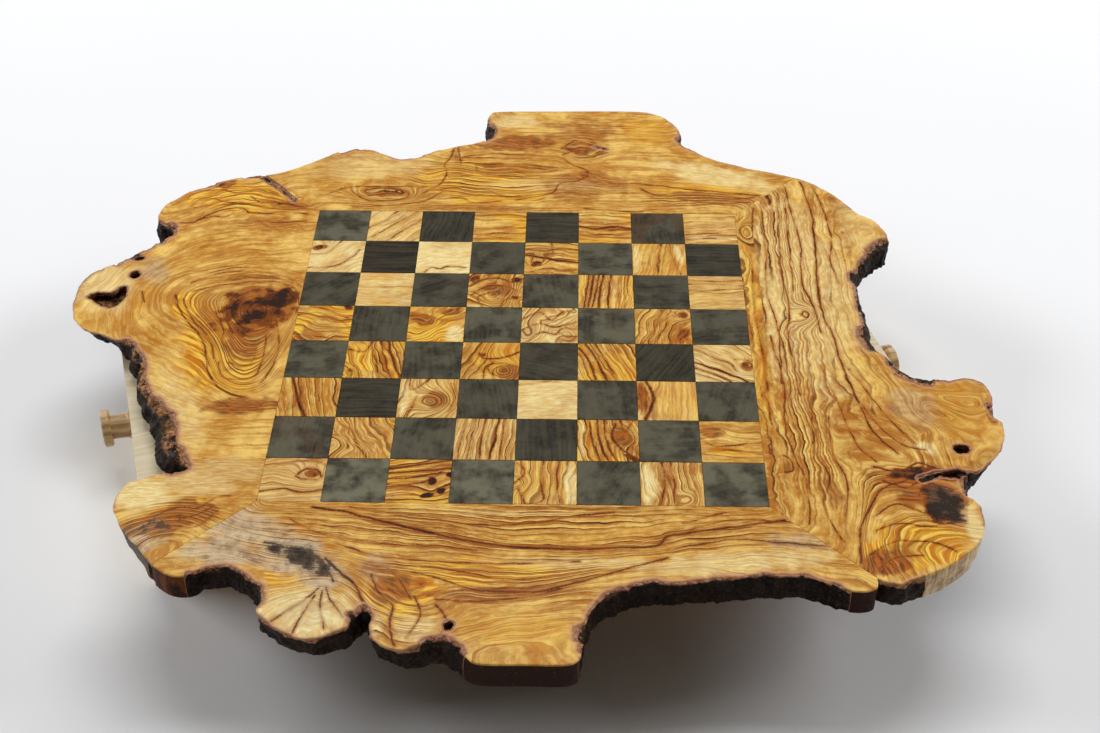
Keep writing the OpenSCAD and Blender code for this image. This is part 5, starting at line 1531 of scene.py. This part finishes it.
# Colour and strength of the light from all round and of the white backdrop, then how far out the
# floor fades into the backdrop, how far it reaches and how little it lies under the part
AMBIENT = ((1.0, 0.84, 0.66, 1), 0.09)
BACKDROP = ((0.97, 0.985, 1.0, 1), 0.97)
FLOOR_FADE = (700, 1300)
FLOOR_REACH = 6000
FLOOR_LEVEL = -0.5
# Each lamp's name, place in metres, width, height and power
LAMPS = (
    ("sky_lamp", (0.2, 3.0, 4.8), 5.0, 1.6, 180),
    ("left_lamp", (-4.8, 1.8, 2.6), 2.8, 1.6, 165),
    ("right_lamp", (4.8, 1.8, 2.6), 2.8, 1.6, 165),
)
LAMP_COLOUR = (0.99, 1.0, 1.0)


def seen_rays(tree):
    """1 for rays from the camera and for those that a glossy or clear surface sends on."""
    path = tree.nodes.new("ShaderNodeLightPath")
    seen = path.outputs["Is Camera Ray"]
    for ray in ("Is Glossy Ray", "Is Transmission Ray"):
        either = tree.nodes.new("ShaderNodeMath")
        either.operation = "MAXIMUM"
        tree.links.new(seen, either.inputs[0])
        tree.links.new(path.outputs[ray], either.inputs[1])
        seen = either.outputs[0]
    return seen


def make_floor():
    """A plain pale floor that fades into the backdrop."""
    t = Tree("floor")
    place = t.place()
    t.feed("Base Color", t.mix(t.noise(place, 0.002, 2), *FLOOR))
    t.constants({"Roughness": 0.6, "Specular IOR Level": 0.1})
    away = t.node("ShaderNodeVectorMath", {0: place}, operation="LENGTH").outputs[1]
    far = t.times(t.step(away, *FLOOR_FADE), seen_rays(t))
    white = t.node("ShaderNodeEmission", {"Color": BACKDROP[0], "Strength": BACKDROP[1]}).outputs[0]
    blend = t.node("ShaderNodeMixShader", {0: far, 1: t.shader.outputs[0], 2: white}).outputs[0]
    t.set(t.nodes["Material Output"].inputs["Surface"], blend)
    corners = [(x * FLOOR_REACH, y * FLOOR_REACH, FLOOR_LEVEL)
               for x, y in ((-1, -1), (1, -1), (1, 1), (-1, 1))]
    make_mesh("floor", corners, [(0, 1, 2, 3)], t.material)


def make_surround():
    """Dim warm light from all round, which the camera sees as a white backdrop."""
    world = bpy.data.worlds.new("surround")
    bpy.context.scene.world = world
    world.use_nodes = True
    nodes, links = world.node_tree.nodes, world.node_tree.links
    nodes.clear()
    blend = nodes.new("ShaderNodeMixShader")
    links.new(seen_rays(world.node_tree), blend.inputs["Fac"])
    for i, (colour, strength) in enumerate((AMBIENT, BACKDROP)):
        light = nodes.new("ShaderNodeBackground")
        light.inputs["Color"].default_value = colour
        light.inputs["Strength"].default_value = strength
        links.new(light.outputs[0], blend.inputs[i + 1])
    links.new(blend.outputs[0], nodes.new("ShaderNodeOutputWorld").inputs["Surface"])


def make_lamps():
    """Soft lamps, turned to the board."""
    for name, place, width, height, power in LAMPS:
        data = bpy.data.lights.new(name, "AREA")
        data.shape = "RECTANGLE"
        data.energy = power
        data.size = width
        data.size_y = height
        data.color = LAMP_COLOUR
        lamp = bpy.data.objects.new(name, data)
        lamp.location = place
        lamp.rotation_euler = (-Vector(place)).to_track_quat("-Z", "Y").to_euler()
        bpy.context.scene.collection.objects.link(lamp)


make_camera()
make_floor()
make_surround()
make_lamps()
bpy.context.scene.view_settings.view_transform = "Standard"

olive = olive_material("olive_slab")
for slab in ("left_slab", "back_slab", "right_slab", "front_slab"):
    make_slab(slab, olive)
make_strip("filler_strip", olive)
make_squares("light_squares", "light_field", 0, LIGHT_STEPS, olive_material("light_olive"))
make_squares("dark_squares", "dark_field", 1, DARK_STEPS, stained_material())

pale = plain_wood("base_wood", BASE)
pale_across = plain_wood("face_wood", ACROSS, across=True)
knob_wood = plain_wood("knob_wood", KNOB, rough=0.4, coat=0.2)
light_men = plain_wood("light_men", LIGHT_MEN, rough=0.35, coat=0.6)
dark_men = plain_wood("dark_men", DARK_MEN, rough=0.35, coat=0.6)
plywood = plywood_material()
steel = steel_material()
BASE_WALLS = ("_wall", "_panel", "divider")
for node in frame["nodes"]:
    if node == "board_core":
        dress(node, plywood)
    elif "screw" in node:
        dress(node, steel)
    elif node in ("left_knob", "right_knob"):
        dress(node, knob_wood)
    elif node.startswith("light_") and node != "light_squares":
        dress(node, light_men)
    elif node.startswith("dark_") and node != "dark_squares":
        dress(node, dark_men)
    elif node.endswith(("drawer_face", "drawer_rear")):
        dress(node, pale_across, 0.6)
    elif "drawer" in node or node.startswith("base_") or node.endswith(BASE_WALLS):
        dress(node, pale, 0.5)
